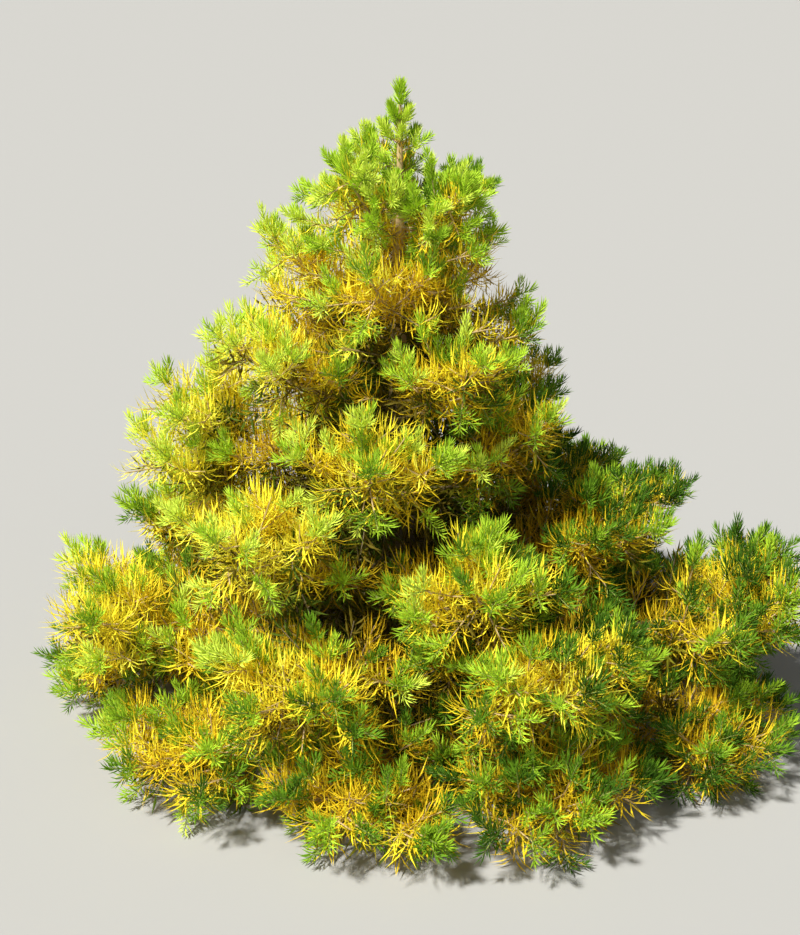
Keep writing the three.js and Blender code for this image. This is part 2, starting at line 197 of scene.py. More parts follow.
def between(draw, low, high):
    """A number from low to high."""
    return low + (high - low) * draw()


print("first draws:", [round(generator(1)(), 4), round(generator(2)(), 4)])

# %% Directions
LEAST_SIDE = 0.01


def across(along):
    """The two directions across a line, with side x up = along."""
    side = UP.cross(along)
    side = side.normalized() if side.length > LEAST_SIDE else Vector((1, 0, 0))
    return side, along.cross(side)


def turned(first, second, angle):
    """A direction at an angle from the first one, towards the second."""
    return first * math.cos(angle) + second * math.sin(angle)


def outwards(bearing, rise=0):
    """A direction away from the trunk."""
    return Vector((math.cos(bearing), math.sin(bearing), rise))


print("across the vertical:", [tuple(line) for line in across(UP)])

# %% The trunk's line and thickness
TRUNK_TOP = 1.118
TRUNK_TOP_RADIUS = 0.0055
TRUNK_FOOT_RADIUS = 0.034
TRUNK_TAPER = 0.9
TRUNK_BEND = 0.004
FLARE = 0.013
FLARE_HEIGHT = 0.030


def trunk_centre(height):
    turn = 2 * math.pi * height / TRUNK_TOP
    return Vector((TRUNK_BEND * math.sin(turn), -TRUNK_BEND * math.sin(turn / 2), height))


def trunk_radius(height):
    share = min(max(1 - height / TRUNK_TOP, 0), 1)
    body = TRUNK_TOP_RADIUS + (TRUNK_FOOT_RADIUS - TRUNK_TOP_RADIUS) * share**TRUNK_TAPER
    return body + FLARE * math.exp(-height / FLARE_HEIGHT)


print("trunk at the ground:", round(2 * trunk_radius(0), 3), "across")

# %% The tiers of limbs
# turn is the first limb's bearing in degrees. foot and tip are heights, and tilt is what the tips
# gain towards +X. right, front, left and back are how far a tier's needles reach. limb is a limb's
# radius, year its yearly growth, spray the size of its sprays, and boughs says if it has solid boughs.
TIER_KEYS = "name count turn foot tip tilt right front left back limb year spray boughs".split()
TIERS = [
    SimpleNamespace(**dict(zip(TIER_KEYS, row)))
    for row in (
        ("skirt", 10, 6, 0.088, 0.084, 0.010, 0.900, 0.770, 0.800, 0.790, 0.010, 0.142, 1.4, True),
        ("low", 7, -10, 0.175, 0.256, 0.012, 0.900, 0.690, 0.770, 0.540, 0.010, 0.142, 1.4, True),
        ("lower_middle", 6, -12, 0.300, 0.430, -0.055, 0.570, 0.575, 0.590, 0.500, 0.008, 0.140, 1.35, False),
        ("middle", 5, 36, 0.450, 0.600, -0.010, 0.395, 0.480, 0.535, 0.470, 0.007, 0.122, 1.25, False),
        ("upper_middle", 5, 0, 0.620, 0.755, -0.010, 0.340, 0.390, 0.460, 0.390, 0.006, 0.105, 1.15, False),
        ("upper", 4, -8, 0.800, 0.905, -0.020, 0.245, 0.275, 0.320, 0.270, 0.005, 0.085, 1, False),
        ("top", 4, 40, 0.965, 1.052, -0.060, 0.245, 0.150, 0.305, 0.150, 0.004, 0.070, 0.75, False),
    )
]
print("tiers:", {tier.name: tier.count for tier in TIERS})

# %% The measures of each limb
BEARING_PLAY = 0.16
REACH_PLAY = 0.05
TIP_PLAY = 0.018
LIMB_SWAY = 0.1
BOUGH_STAGGER = 0.016
STEM_STAGGER = 0.010
SPRAY_BAND = 0.030
SPRAY_TIP = 0.018
SPRAY_NEEDLE = 0.062
SPRAY_LEAN = math.radians(27)
SPRAY_REACH = SPRAY_BAND + SPRAY_TIP / 2 + SPRAY_NEEDLE * math.cos(SPRAY_LEAN)


def reach_on(tier, bearing):
    """How far a tier's needles reach on a bearing."""
    x, y = math.cos(bearing), math.sin(bearing)
    sideways = tier.right if x > 0 else tier.left
    forwards = tier.front if y < 0 else tier.back
    return sideways * x * x + forwards * y * y


def make_limb(tier, index, number):
    """A limb's measures: where it leaves the trunk, where it goes and how thick it is."""
    draw = generator(number)
    spacing = 2 * math.pi / tier.count
    bearing = math.radians(tier.turn) + spacing * (index + BEARING_PLAY * swing(draw))
    stagger = BOUGH_STAGGER if tier.boughs else STEM_STAGGER
    foot = tier.foot + (stagger if index % 2 else -stagger)
    reach = reach_on(tier, bearing) * vary(draw, REACH_PLAY) - SPRAY_REACH * tier.spray
    tip = tier.tip + tier.tilt * math.cos(bearing) + TIP_PLAY * swing(draw)
    sway = LIMB_SWAY * swing(draw)
    name = f"{tier.name}_{index + 1}"
    return SimpleNamespace(
        name=name, tier=tier, bearing=bearing, foot=foot, reach=reach, tip=tip, sway=sway, draw=draw
    )


limbs = []
for tier in TIERS:
    for index in range(tier.count):
        limbs.append(make_limb(tier, index, len(limbs) + 1))
print("limbs:", len(limbs), "longest:", round(max(limb.reach for limb in limbs), 3))

# %% A limb's line and thickness
LIMB_RISE = 1.4
LIMB_SAG = 0.012
LIMB_TAPER = 0.9
LIMB_TIP_RADIUS = 0.0022
LIMB_COLLAR = 1.35
LIMB_COLLAR_LENGTH = 0.06
LIMB_STEP = 0.02


def limb_point(limb, share):
    """A point of the limb's centre line, from 0 in the trunk to 1 at its end."""
    bearing = limb.bearing + limb.sway * math.sin(math.pi * share)
    out = limb.reach * share
    rise = (limb.tip - limb.foot) * max(share, 0) ** LIMB_RISE
    height = limb.foot + rise - LIMB_SAG * math.sin(math.pi * share)
    centre = trunk_centre(limb.foot)
    return Vector((centre.x + out * math.cos(bearing), centre.y + out * math.sin(bearing), height))


def limb_along(limb, share):
    return (limb_point(limb, share + LIMB_STEP) - limb_point(limb, share - LIMB_STEP)).normalized()


def limb_radius(limb, share):
    collar = 1 + (LIMB_COLLAR - 1) * math.exp(-share / LIMB_COLLAR_LENGTH)
    slim = (limb.tier.limb - LIMB_TIP_RADIUS) * (1 - min(share, 1)) ** LIMB_TAPER
    return (LIMB_TIP_RADIUS + slim) * collar


print("the lowest limb's foot:", round(2 * limb_radius(limbs[0], 0), 3), "across")

# %% A side twig
TURN_OUT = 0.25
TURN_UP = 0.18


def side_shoot(limb, share, length, turn, lift):
    """A side twig leaves its limb at an angle and bends outwards and up."""
    along = limb_along(limb, share)
    side, up = across(along)
    leave = (turned(along, side, turn) + up * lift).normalized()
    start = limb_point(limb, share)
    heading = (leave + along * TURN_OUT + UP * TURN_UP).normalized()
    return dict(start=start, end=start + leave * length, heading=heading, size=limb.tier.spray)


first_twig = side_shoot(limbs[0], share=0.5, length=0.1, turn=1, lift=0)
print("a side twig might end at", [round(value, 3) for value in first_twig["end"]])

# %% The whorls of side twigs
YEAR_LEAD = 0.15
YEAR_PLAY = 0.08
BARE_SHARE = 0.25
BOUGH_BARE_SHARE = 0.41
STEM_END = 0.95
SIDE_ANGLE = math.radians(56)
SIDE_ANGLE_PLAY = 0.14
SIDE_SHARE = 1.05
SIDE_LEAST = 0.025
SIDE_ROOM = 1.25
SIDE_SPRAY = 0.042
SIDE_LIFT = 0.2
SIDE_LIFT_PLAY = 1.4
SIDE_STAGGER = 0.012
LENGTH_PLAY = 0.12
TOP_LEAST_SPRAY = 1
TOP_LENGTH = 0.046
TOP_ANGLE = math.radians(24)
TOP_LIFT = 0.62


def limb_shoots(limb):
    """All side twigs of a limb: the end one, then a whorl for each year behind the tip."""
    tier, draw, reach = limb.tier, limb.draw, limb.reach
    heading = (limb_along(limb, 1) + UP * TURN_UP).normalized()
    start = limb_point(limb, STEM_END - LIMB_STEP)
    shoots = [dict(start=start, end=limb_point(limb, 1), heading=heading, size=tier.spray)]
    bare = BOUGH_BARE_SHARE if tier.boughs else BARE_SHARE
    year = 1
    while True:
        behind = tier.year * (year - YEAR_LEAD) * vary(draw, YEAR_PLAY)
        share = 1 - behind / reach
        if share < bare:
            return shoots
        for hand in (-1, 1):
            turn = hand * SIDE_ANGLE * vary(draw, SIDE_ANGLE_PLAY)
            beside = math.pi * reach * share / tier.count
            room = max(SIDE_ROOM * beside - SIDE_SPRAY * tier.spray, SIDE_LEAST)
            length = min(SIDE_SHARE * behind, room) * vary(draw, LENGTH_PLAY)
            lift = SIDE_LIFT * vary(draw, SIDE_LIFT_PLAY)
            shoots.append(side_shoot(limb, share + hand * SIDE_STAGGER, length, turn, lift))
        if year % 2 == 1 and tier.spray > TOP_LEAST_SPRAY:
            length = TOP_LENGTH * tier.spray * vary(draw, LENGTH_PLAY)
            turn = TOP_ANGLE * swing(draw)
            shoots.append(side_shoot(limb, share - 2 * SIDE_STAGGER, length, turn, TOP_LIFT))
        year += 1


for limb in limbs:
    limb.shoots = limb_shoots(limb)
print("side twigs:", sum(len(limb.shoots) for limb in limbs))

# %% [markdown]
# From here on the rule goes further than the solids do. Each side twig runs on by last year's growth,
# which forks, and most forks end in a tuft of this year's shoots. The bare wood is kept in one list,
# and each stretch that bears needles in another, by the needles' age: new, golden or inner.
# A list of lines is light, so the whole crown can be grown before any mesh is made.

# %% What a mass of foliage is made of
AGES = ("new", "golden", "inner")


def new_mass(name):
    """The lines of one mass, bare or with needles. Each has points, a number at each, and a tint."""
    return dict(name=name, wood=[], new=[], golden=[], inner=[])


def add_wood(mass, age, points, *radii):
    """A bare twig through points, with a radius at each."""
    mass["wood"].append((points, radii, AGES.index(age)))


def add_needles(mass, age, points, needle, tint):
    """A stretch of twig that bears needles of one length and one tint."""
    mass[age].append((points, [needle] * len(points), tint))


def tell_growth(masses):
    print({key: sum(len(mass[key]) for mass in masses) for key in ("wood", *AGES)})


tell_growth([new_mass("nothing yet")])

# %% Where a place is in the crown
CROWN_MIDDLE = Vector((0, 0, 0.40))
# The side that the tints paint as lit, about where the key lamp stands.
SUNNY = Vector((-0.75, -0.35, 0.56)).normalized()
GROUND_REACH = 0.66
LEADER_REACH = 0.06
LEADER_AT = 1.19
CROWN_HEIGHTS = [0] + [tier.tip for tier in TIERS] + [LEADER_AT]
CROWN_REACHES = [GROUND_REACH] + [(t.right + t.front + t.left + t.back) / 4 for t in TIERS] + [LEADER_REACH]


def crown_radius(height):
    """Roughly how far the needles reach at a height."""
    return float(np.interp(height, CROWN_HEIGHTS, CROWN_REACHES))


def outness(place):
    """0 at the trunk, 1 at the outside of the crown."""
    return min(math.hypot(place.x, place.y) / crown_radius(place.z), 1)


def sunshine(place):
    """How much a place in the crown faces the key lamp's side, from 0 to 1. The tints use it as painted light
    and shade, partly real, since a golden fir is most golden where the sun falls.
    """
    out = (place - CROWN_MIDDLE).normalized()
    return min(max(0.5 + 0.5 * out.dot(SUNNY), 0), 1)


print("at the outer left:", round(sunshine(Vector((-0.6, -0.4, 0.5))), 2), end=", ")
print("at the outer right:", round(sunshine(Vector((0.6, -0.3, 0.2))), 2))

# %% Tints by place
# Tints are numbered from pale to deep. They paint light and shade into the crown: the side that faces the
# light and the outer sprays are the palest, and everything is deeper inside the crown, low down and on the
# shaded right.
# This is partly real, as a golden fir is most golden where the sun reaches it.
NEW_TINTS = 5
GOLDEN_TINTS = 5
INNER_TINTS = 3
# How much deeper the tints get low down, as painted shade.
LOW_HEIGHT = 0.40
LOW_DEEPER = 0.20
NEW_DEEPEST, NEW_SUN, NEW_PLAY, NEW_OUT, NEW_OUT_FROM = 0.91, 0.80, 0.26, 0.1, 0.8
GOLDEN_DEEPEST, GOLDEN_OUT, GOLDEN_SUN, GOLDEN_PLAY, GOLDEN_USUAL = 1.06, 0.72, 0.30, 0.3, 0.4


def pick_tint(value, place, count):
    """The number of a tint, from its depth of colour. Low down in the crown all are deeper, as painted shade
    under the tiers above.
    """
    value += LOW_DEEPER * max(1 - place.z / LOW_HEIGHT, 0)
    return min(max(int(count * value), 0), count - 1)


def new_tint(place, draw):
    value = NEW_DEEPEST - NEW_SUN * sunshine(place) + NEW_PLAY * swing(draw)
    return pick_tint(value - NEW_OUT * (outness(place) - NEW_OUT_FROM), place, NEW_TINTS)


def golden_tint(place, draw):
    value = GOLDEN_DEEPEST - GOLDEN_OUT * outness(place) - GOLDEN_SUN * sunshine(place)
    return pick_tint(value + GOLDEN_PLAY * (draw() - GOLDEN_USUAL), place, GOLDEN_TINTS)


def inner_tint(draw):
    return int(INNER_TINTS * draw())


print("a new shoot at the tip has tint", new_tint(Vector((0, 0, 1.2)), generator(1)), "of", NEW_TINTS)

# %% This year's tufts
NEW_LENGTH = 0.038
NEW_NEEDLE = 0.027
NEW_RADIUS = 0.0014
NEW_ANGLE = math.radians(50)
# Shoots and needles grow less than the spray that bears them.
SHOOT_POWER = 0.5
NEW_NEEDLE_POWER = 0.35
FINE_PLAY = 0.2
FINE_TAPER = 0.6
SIDE_TUFT = 2
AROUND_LENGTH, AROUND_RISE, AROUND_PLAY = 0.9, 0.16, 0.18
MIDDLE_LENGTH, MIDDLE_RISE = 1.15, 0.12
UPRIGHT_LENGTH, UPRIGHT_RISE, UPRIGHT_HEIGHT = 1.35, 1.1, 0.80
ODD_TINT = 0.8
GROUND_ROOM = 0.012


def above_ground(point):
    """The point, or one over it just clear of the ground."""
    return Vector((point.x, point.y, max(point.z, GROUND_ROOM)))


def tuft(mass, place, heading, size, count, draw):
    """This year's shoots: one straight on, and count more around it."""
    side, up = across(heading)
    tint = new_tint(place, draw)
    first = 2 * math.pi * draw()
    upright = count > SIDE_TUFT and place.z > UPRIGHT_HEIGHT
    for i in range(count + 1):
        if i == 0:
            line = heading + UP * (UPRIGHT_RISE if upright else MIDDLE_RISE)
            share = UPRIGHT_LENGTH if upright else MIDDLE_LENGTH
        else:
            bearing = first + 2 * math.pi * (i + AROUND_PLAY * swing(draw)) / count
            lean = NEW_ANGLE * vary(draw, FINE_PLAY)
            line = turned(heading, turned(side, up, bearing), lean) + UP * AROUND_RISE
            share = AROUND_LENGTH
        length = NEW_LENGTH * size**SHOOT_POWER * vary(draw, FINE_PLAY) * share
        points = [place, above_ground(place + line.normalized() * length)]
        add_wood(mass, "new", points, NEW_RADIUS, FINE_TAPER * NEW_RADIUS)
        shade = tint + (draw() > ODD_TINT) - (draw() > ODD_TINT)
        shade = min(max(shade, 0), NEW_TINTS - 1)
        needle = NEW_NEEDLE * size**NEW_NEEDLE_POWER * vary(draw, LENGTH_PLAY)
        add_needles(mass, "new", points, needle, shade)


print("new shoots:", NEW_LENGTH, "long, with needles of", NEW_NEEDLE)

# %% Last year's twigs
# High up the crown is young: some of its twigs are still green, and nearly all of them bear tufts.
OLD_NEEDLE = 0.057
OLD_NEEDLE_POWER = 0.4
OLD_NEEDLE_PLAY = 0.1
TWIG_RADIUS = 0.0019
TWIG_TAPER = 0.75
RUFF_ANGLE = math.radians(62)
RUFF_LENGTH = 0.030
RUFF_AT = 0.45
RUFF_ROLL = 0.6
SHADE_OUT = 0.36
SHADE_NEEDLE = 0.8
LIGHT_HEIGHT = 0.80
YOUNG_HEIGHT = 0.92
YOUNG_GREEN = 0.45
YOUNG_NEEDLE = 0.65
NO_TUFT = -1


def old_needle(size):
    return OLD_NEEDLE * size**OLD_NEEDLE_POWER


def golden_twig(mass, start, heading, length, size, draw):
    """A twig with last year's long needles. Its end is where the next growth begins."""
    end = above_ground(start + heading * length)
    points = [start, end]
    add_wood(mass, "golden", points, TWIG_RADIUS, TWIG_TAPER * TWIG_RADIUS)
    needle = old_needle(size) * vary(draw, OLD_NEEDLE_PLAY)
    # Needles near the trunk and below the light take the dark inner tints, partly painted shade.
    if outness(end) < SHADE_OUT and end.z < LIGHT_HEIGHT:
        add_needles(mass, "inner", points, SHADE_NEEDLE * needle, inner_tint(draw))
    elif start.z > YOUNG_HEIGHT and draw() < YOUNG_GREEN:
        add_needles(mass, "new", points, YOUNG_NEEDLE * needle, new_tint(end, draw))
    else:
        add_needles(mass, "golden", points, needle, golden_tint(end, draw))
    return end


def last_year(mass, start, heading, length, size, count, draw):
    """A golden twig with a short golden side twig and a tuft at its end."""
    end = golden_twig(mass, start, heading, length, size, draw)
    side, up = across(heading)
    hand = 1 if draw() > 0.5 else -1
    lean = RUFF_ANGLE * vary(draw, FINE_PLAY)
    line = turned(heading, side * hand + up * RUFF_ROLL * swing(draw), lean)
    golden_twig(mass, start.lerp(end, RUFF_AT), line.normalized(), RUFF_LENGTH * size, size, draw)
    if count > NO_TUFT:
        tuft(mass, end, heading, size, count, draw)


print("length of golden needles:", old_needle(1))

# %% Small twigs in the shade, and where tufts stand
INNER_NEEDLE = 0.046
INNER_NEEDLE_POWER = 0.3
TUFT_LEAST_OUT = 0.38
YOUNG_SHARE = 0.15


def inner_needle(size):
    return INNER_NEEDLE * size**INNER_NEEDLE_POWER


def inner_twig(mass, start, line, length, size, draw):
    """A small twig in the shade, with dark needles, which are partly painted shade. High up, where light gets
    in, they are golden.
    """
    end = above_ground(start + line * length)
    points = [start, end]
    add_wood(mass, "inner", points, TWIG_RADIUS, FINE_TAPER * TWIG_RADIUS)
    if start.z > LIGHT_HEIGHT:
        add_needles(mass, "golden", points, inner_needle(size), golden_tint(end, draw))
    else:
        add_needles(mass, "inner", points, inner_needle(size), inner_tint(draw))


def shoots_of(place, most, golden_share, draw):
    """How many new shoots stand round a tuft's middle. Inside, and often in full sun, there is no tuft."""
    if outness(place) < TUFT_LEAST_OUT and place.z < LIGHT_HEIGHT:
        return NO_TUFT
    share = golden_share * sunshine(place) * (YOUNG_SHARE if place.z > YOUNG_HEIGHT else 1)
    return NO_TUFT if draw() < share else most


print("length of inner needles:", round(inner_needle(1), 3))

# %% Twigs along a side twig
# A pair in its shade hides the wood. Two more close the crown between its tiers, given by how steeply
# they rise or droop and how often they have no tuft in full sun. A long one bears a pair on its way.
SIDE_SIZE = 0.85
CLOSING_LEAST = 0.7
CLOSING_TWIGS = ((0.95, 0.9), (-0.75, 0.55))
CLOSING_AT = (0.30, 0.80)
CLOSING_ALONG = (0.4, 0.7)
CLOSING_SWAY = 0.5
CLOSING_LENGTH = 0.055
CLOSING_PLAY = 0.25
UNDER_LENGTH = 0.052
UNDER_ALONG, UNDER_DROP, UNDER_SPREAD = 0.7, 0.35, (0.4, 0.7)
LONG_TWIG = 0.085
PAIR_AT = ((-1, 0.42), (1, 0.62))
PAIR_ALONG, PAIR_SPREAD, PAIR_LIFT = 0.6, 0.7, (0.2, 0.6)
PAIR_GOLDEN, PAIR_LENGTH, PAIR_SIZE = 0.85, 0.033, 0.8


def twigs_along(mass, start, end, size, draw):
    """What grows on a side twig before its fork."""
    leave = (end - start).normalized()
    side, _ = across(leave)
    for hand in (-1, 1) if start.z < LIGHT_HEIGHT else ():
        line = leave * UNDER_ALONG + side * hand * between(draw, *UNDER_SPREAD) - UP * UNDER_DROP
        inner_twig(mass, start.lerp(end, 0.5), line.normalized(), UNDER_LENGTH * size, size, draw)
    for upright, golden_share in CLOSING_TWIGS if size > CLOSING_LEAST else ():
        place = start.lerp(end, between(draw, *CLOSING_AT))
        line = leave * between(draw, *CLOSING_ALONG) + UP * upright + side * CLOSING_SWAY * swing(draw)
        most = shoots_of(place, SIDE_TUFT, golden_share, draw)
        length = CLOSING_LENGTH * size * vary(draw, CLOSING_PLAY)
        last_year(mass, place, line.normalized(), length, SIDE_SIZE * size, most, draw)
    for hand, at in PAIR_AT if (end - start).length > LONG_TWIG else ():
        place = start.lerp(end, at)
        line = leave * PAIR_ALONG + side * hand * PAIR_SPREAD + UP * between(draw, *PAIR_LIFT)
        most = shoots_of(place, SIDE_TUFT, PAIR_GOLDEN, draw)
        last_year(mass, place, line.normalized(), PAIR_LENGTH * size, PAIR_SIZE * size, most, draw)


print("closing twigs on each side twig:", len(CLOSING_TWIGS))

# %% The finer growth of a side twig
SIDE_DROOP = -0.05
SIDE_THICKNESS = (1.4, 1.25, 1.1, 1)
END_TWIG = SPRAY_BAND + 0.012
END_GOLDEN = 0.1
END_TUFT, SMALL_END_TUFT, END_TUFT_FROM = 4, 3, 1.1
FORK_ANGLE = math.radians(48)
FORK_LENGTH = 0.044
FORK_RISE, FORK_ROLL = 0.2, 0.4
FORK_GOLDEN = 0.92


def bow(start, end, bend):
    """Four points from start to end, bowed by an offset in the middle."""
    return [start.lerp(end, i / 3) + bend * (4 * (i / 3) * (1 - i / 3)) for i in range(4)]


def fork(mass, end, heading, size, draw):
    """Last year's growth at a side twig's end: one twig straight on and one to each side."""
    most = shoots_of(end, END_TUFT if size > END_TUFT_FROM else SMALL_END_TUFT, END_GOLDEN, draw)
    last_year(mass, end, heading, END_TWIG * size, size, most, draw)
    side, up = across(heading)
    for hand in (-1, 1):
        lean = FORK_ANGLE * vary(draw, FINE_PLAY)
        line = turned(heading, side * hand, lean) + up * (FORK_RISE + FORK_ROLL * swing(draw))
        length = FORK_LENGTH * size * vary(draw, FINE_PLAY)
        most = shoots_of(end, SIDE_TUFT, FORK_GOLDEN, draw)
        last_year(mass, end, line.normalized(), length, SIDE_SIZE * size, most, draw)


def dress(mass, shoot, draw):
    """One side twig with its finer growth."""
    start, end, heading, size = (shoot[key] for key in ("start", "end", "heading", "size"))
    points = bow(start, end, UP * SIDE_DROOP * (end - start).length)
    add_wood(mass, "golden", points, *(share * TWIG_RADIUS for share in SIDE_THICKNESS))
    add_needles(mass, "golden", points, old_needle(size), golden_tint(end, draw))
    fork(mass, end, heading, size, draw)
    twigs_along(mass, start, end, size, draw)


test_mass = new_mass("test")
dress(test_mass, first_twig, generator(1))
tell_growth([test_mass])

# %% The finer growth of every side twig
# The boughs have two more side twigs near their ends, which fill the crown's rim. The middle tiers
# have one more that rises, so that their sprays cross into the next tier.
FINE_SEED = 200
END_SHARE = 0.90
END_LENGTH = 0.105
END_ANGLE = math.radians(64)
END_LIFTS = dict(skirt=0, low=0.38)
RISE_SHARE = 0.70
RISE_LENGTH = 0.10
RISE_LIFT = 0.95
RISE_TIERS = ("lower_middle", "middle")


def more_shoots(limb, draw):
    """Gives the further side twigs of a limb, one after another."""
    name = limb.tier.name
    for hand in (-1, 1) if name in END_LIFTS else ():
        length = END_LENGTH * vary(draw, LENGTH_PLAY)
        yield side_shoot(limb, END_SHARE, length, hand * END_ANGLE, END_LIFTS[name])
    if name in RISE_TIERS:
        length = RISE_LENGTH * vary(draw, LENGTH_PLAY)
        yield side_shoot(limb, RISE_SHARE, length, TOP_ANGLE * swing(draw), RISE_LIFT)


for number, limb in enumerate(limbs):
    limb.mass = new_mass("foliage_" + limb.name)
    limb.fine_draw = generator(FINE_SEED + number)
    for shoot in limb.shoots:
        dress(limb.mass, shoot, limb.fine_draw)
    for shoot in more_shoots(limb, limb.fine_draw):
        dress(limb.mass, shoot, limb.fine_draw)
tell_growth([limb.mass for limb in limbs])

# %% [markdown]
# Between its whorls a limb bears small twigs all round, and it keeps its own needles for several years.
# The upper twigs rise towards the tier above and close the crown. Those near the trunk get little light,
# so they carry darker needles and no new tufts, and so does a shade twig opposite every second one.
# The darkness of these needles is partly real and partly painted shade.
# The trunk bears such twigs too.

# %% The limbs' own needles
STEM_STRETCHES = 4


def stem_needles(limb, draw):
    """The limb's own needles, in stretches with a tint each."""
    bare = BOUGH_BARE_SHARE if limb.tier.boughs else BARE_SHARE
    steps = 2 * STEM_STRETCHES
    stem = [limb_point(limb, bare + (1 - bare) * i / steps) for i in range(steps + 1)]
    for i in range(0, steps, 2):
        tint = golden_tint(stem[i], draw)
        add_needles(limb.mass, "golden", stem[i : i + 3], inner_needle(limb.tier.spray), tint)


for limb in limbs:
    stem_needles(limb, limb.fine_draw)
tell_growth([limb.mass for limb in limbs])

# %% Small twigs all round the limbs
LARGEST_SPRAY = 1.4
RISER_EVERY = 0.019
RISER_LENGTH = 0.110
RISER_PLAY = 0.3
RISER_FROM = 0.10
TOP_RISER_FROM = 0.36
RISER_TO = 0.97
RISER_ALONG = (0.35, 0.75)
RISER_LIFT = 0.15
# How far round a limb they stand, in degrees: on a bough, and on a stem of the upper tiers.
RISER_SPREAD = {True: 360, False: 260}
RISER_SCATTER = 0.1
GOLDEN_SHARE = 0.618034
LIT_SHARE = 0.44
SHADE_FROM, SHADE_TO = 0.25, 0.80
SHADE_ALONG, SHADE_LIFT = 0.3, 0.1
SHADE_LENGTH = 0.10


def by_size(size, least):
    """A share that grows with the spray, up to 1 for the largest."""
    return least + (1 - least) * size / LARGEST_SPRAY


def filler(mass, start, line, length, size, lit, draw):
    """A small twig: golden with a tuft where it is lit, darker and plain where it isn't, its dark needles
    partly painted shade.
    """
    if lit:
        most = shoots_of(start, SIDE_TUFT, 1.0, draw)
        last_year(mass, start, line, length, size, most, draw)
    else:
        inner_twig(mass, start, line, length, size, draw)


def grow_fillers(limb, draw):
    """The small twigs along a limb between its whorls."""
    mass, size = limb.mass, limb.tier.spray
    nearest = TOP_RISER_FROM if limb.tier.name == "top" else RISER_FROM
    steps = round(limb.reach * (RISER_TO - nearest) / (RISER_EVERY * by_size(size, least=0.4)))
    for i in range(steps):
        share = nearest + (RISER_TO - nearest) * (i + 0.5 * draw()) / steps
        place, along = limb_point(limb, share), limb_along(limb, share)
        side, up = across(along)
        turn = (GOLDEN_SHARE * i + RISER_SCATTER * draw()) % 1 - 0.5
        from_top = RISER_SPREAD[limb.tier.boughs] * turn
        round_about = turned(side, up, math.radians(90 + from_top))
        line = (along * between(draw, *RISER_ALONG) + round_about + UP * RISER_LIFT).normalized()
        length = RISER_LENGTH * vary(draw, RISER_PLAY) * by_size(size, least=0.3)
        filler(mass, place, line, length, SIDE_SIZE * size, share > LIT_SHARE, draw)
        if i % 2 == 0 and SHADE_FROM < share < SHADE_TO:
            shade_line = (along * SHADE_ALONG - round_about + UP * SHADE_LIFT).normalized()
            inner_twig(mass, place, shade_line, SHADE_LENGTH * size, size, draw)


for limb in limbs:
    grow_fillers(limb, limb.fine_draw)
tell_growth([limb.mass for limb in limbs])

# %% Small twigs on the trunk
GOLDEN_ANGLE = math.radians(137.508)
TRUNK_TWIGS = 120
TRUNK_TWIG_FROM = 0.14
TRUNK_TWIG_TO = 0.97
TRUNK_TWIG_SHARE = 0.62
TRUNK_TWIG_MOST = 0.24
TRUNK_TWIG_RISE = 0.35
TRUNK_TWIG_TURN = 0.3
SHADY_PART, LIT_PART = 0.7, 0.3
LIT_FROM = 0.5
LIMB_BESIDE = 0.1
LEAST_SIZE, GAINED_SIZE = 0.7, 0.5


def nearest_mass(place, share):
    """The mass of the limb that is nearest to a place at a share of its length."""
    return min(limbs, key=lambda limb: (limb_point(limb, share) - place).length).mass


trunk_draw = generator(FINE_SEED - 1)
for i in range(TRUNK_TWIGS):
    height = TRUNK_TWIG_FROM + (TRUNK_TWIG_TO - TRUNK_TWIG_FROM) * (i + 0.5 * trunk_draw()) / TRUNK_TWIGS
    bearing = i * GOLDEN_ANGLE + TRUNK_TWIG_TURN * swing(trunk_draw)
    start = trunk_centre(height)
    out = outwards(bearing, TRUNK_TWIG_RISE).normalized()
    length = min(TRUNK_TWIG_SHARE * crown_radius(height), TRUNK_TWIG_MOST) * vary(trunk_draw, FINE_PLAY)
    mass = nearest_mass(start + out * LIMB_BESIDE, share=0.3)
    inner_twig(mass, start, out, SHADY_PART * length, 1, trunk_draw)
    size = LEAST_SIZE + GAINED_SIZE * (1 - height)
    place = start + out * SHADY_PART * length
    filler(mass, place, out, LIT_PART * length, size, height > LIT_FROM, trunk_draw)
tell_growth([limb.mass for limb in limbs])

# %% [markdown]
# The leader is this year's shoot on the trunk's tip. Its bark is bare and pale. It carries two whorls
# of short upright candles, each a stubby brush of new needles, and ends in a blunt brush of its own.

# %% The leader
LEADER_HEIGHT = 0.094
LEADER_WHORLS = (0.024, 0.066)
LEADER_CANDLES = 4
CANDLE_REACHES = (0.0195, 0.0104)
CANDLE_RISE = 0.013
CANDLE_SPREAD = 0.6
CANDLE_PLAY = 0.006
CANDLE_LENGTH = 0.032
CANDLE_LENGTH_PLAY = 0.25
CANDLE_OVERLAP = 0.008
CANDLE_NEEDLE = 0.024
CANDLE_TINTS = 3
ARM_RADII = (0.002, 0.0018)
CANDLE_RADII = (0.0022, 0.001)
TIP_RADII = (0.0024, 0.002)
TIP_BRUSH = 0.018
COLLAR_BELOW = 0.030
COLLAR_NEEDLE = 0.024
COLLAR_TINT = 2

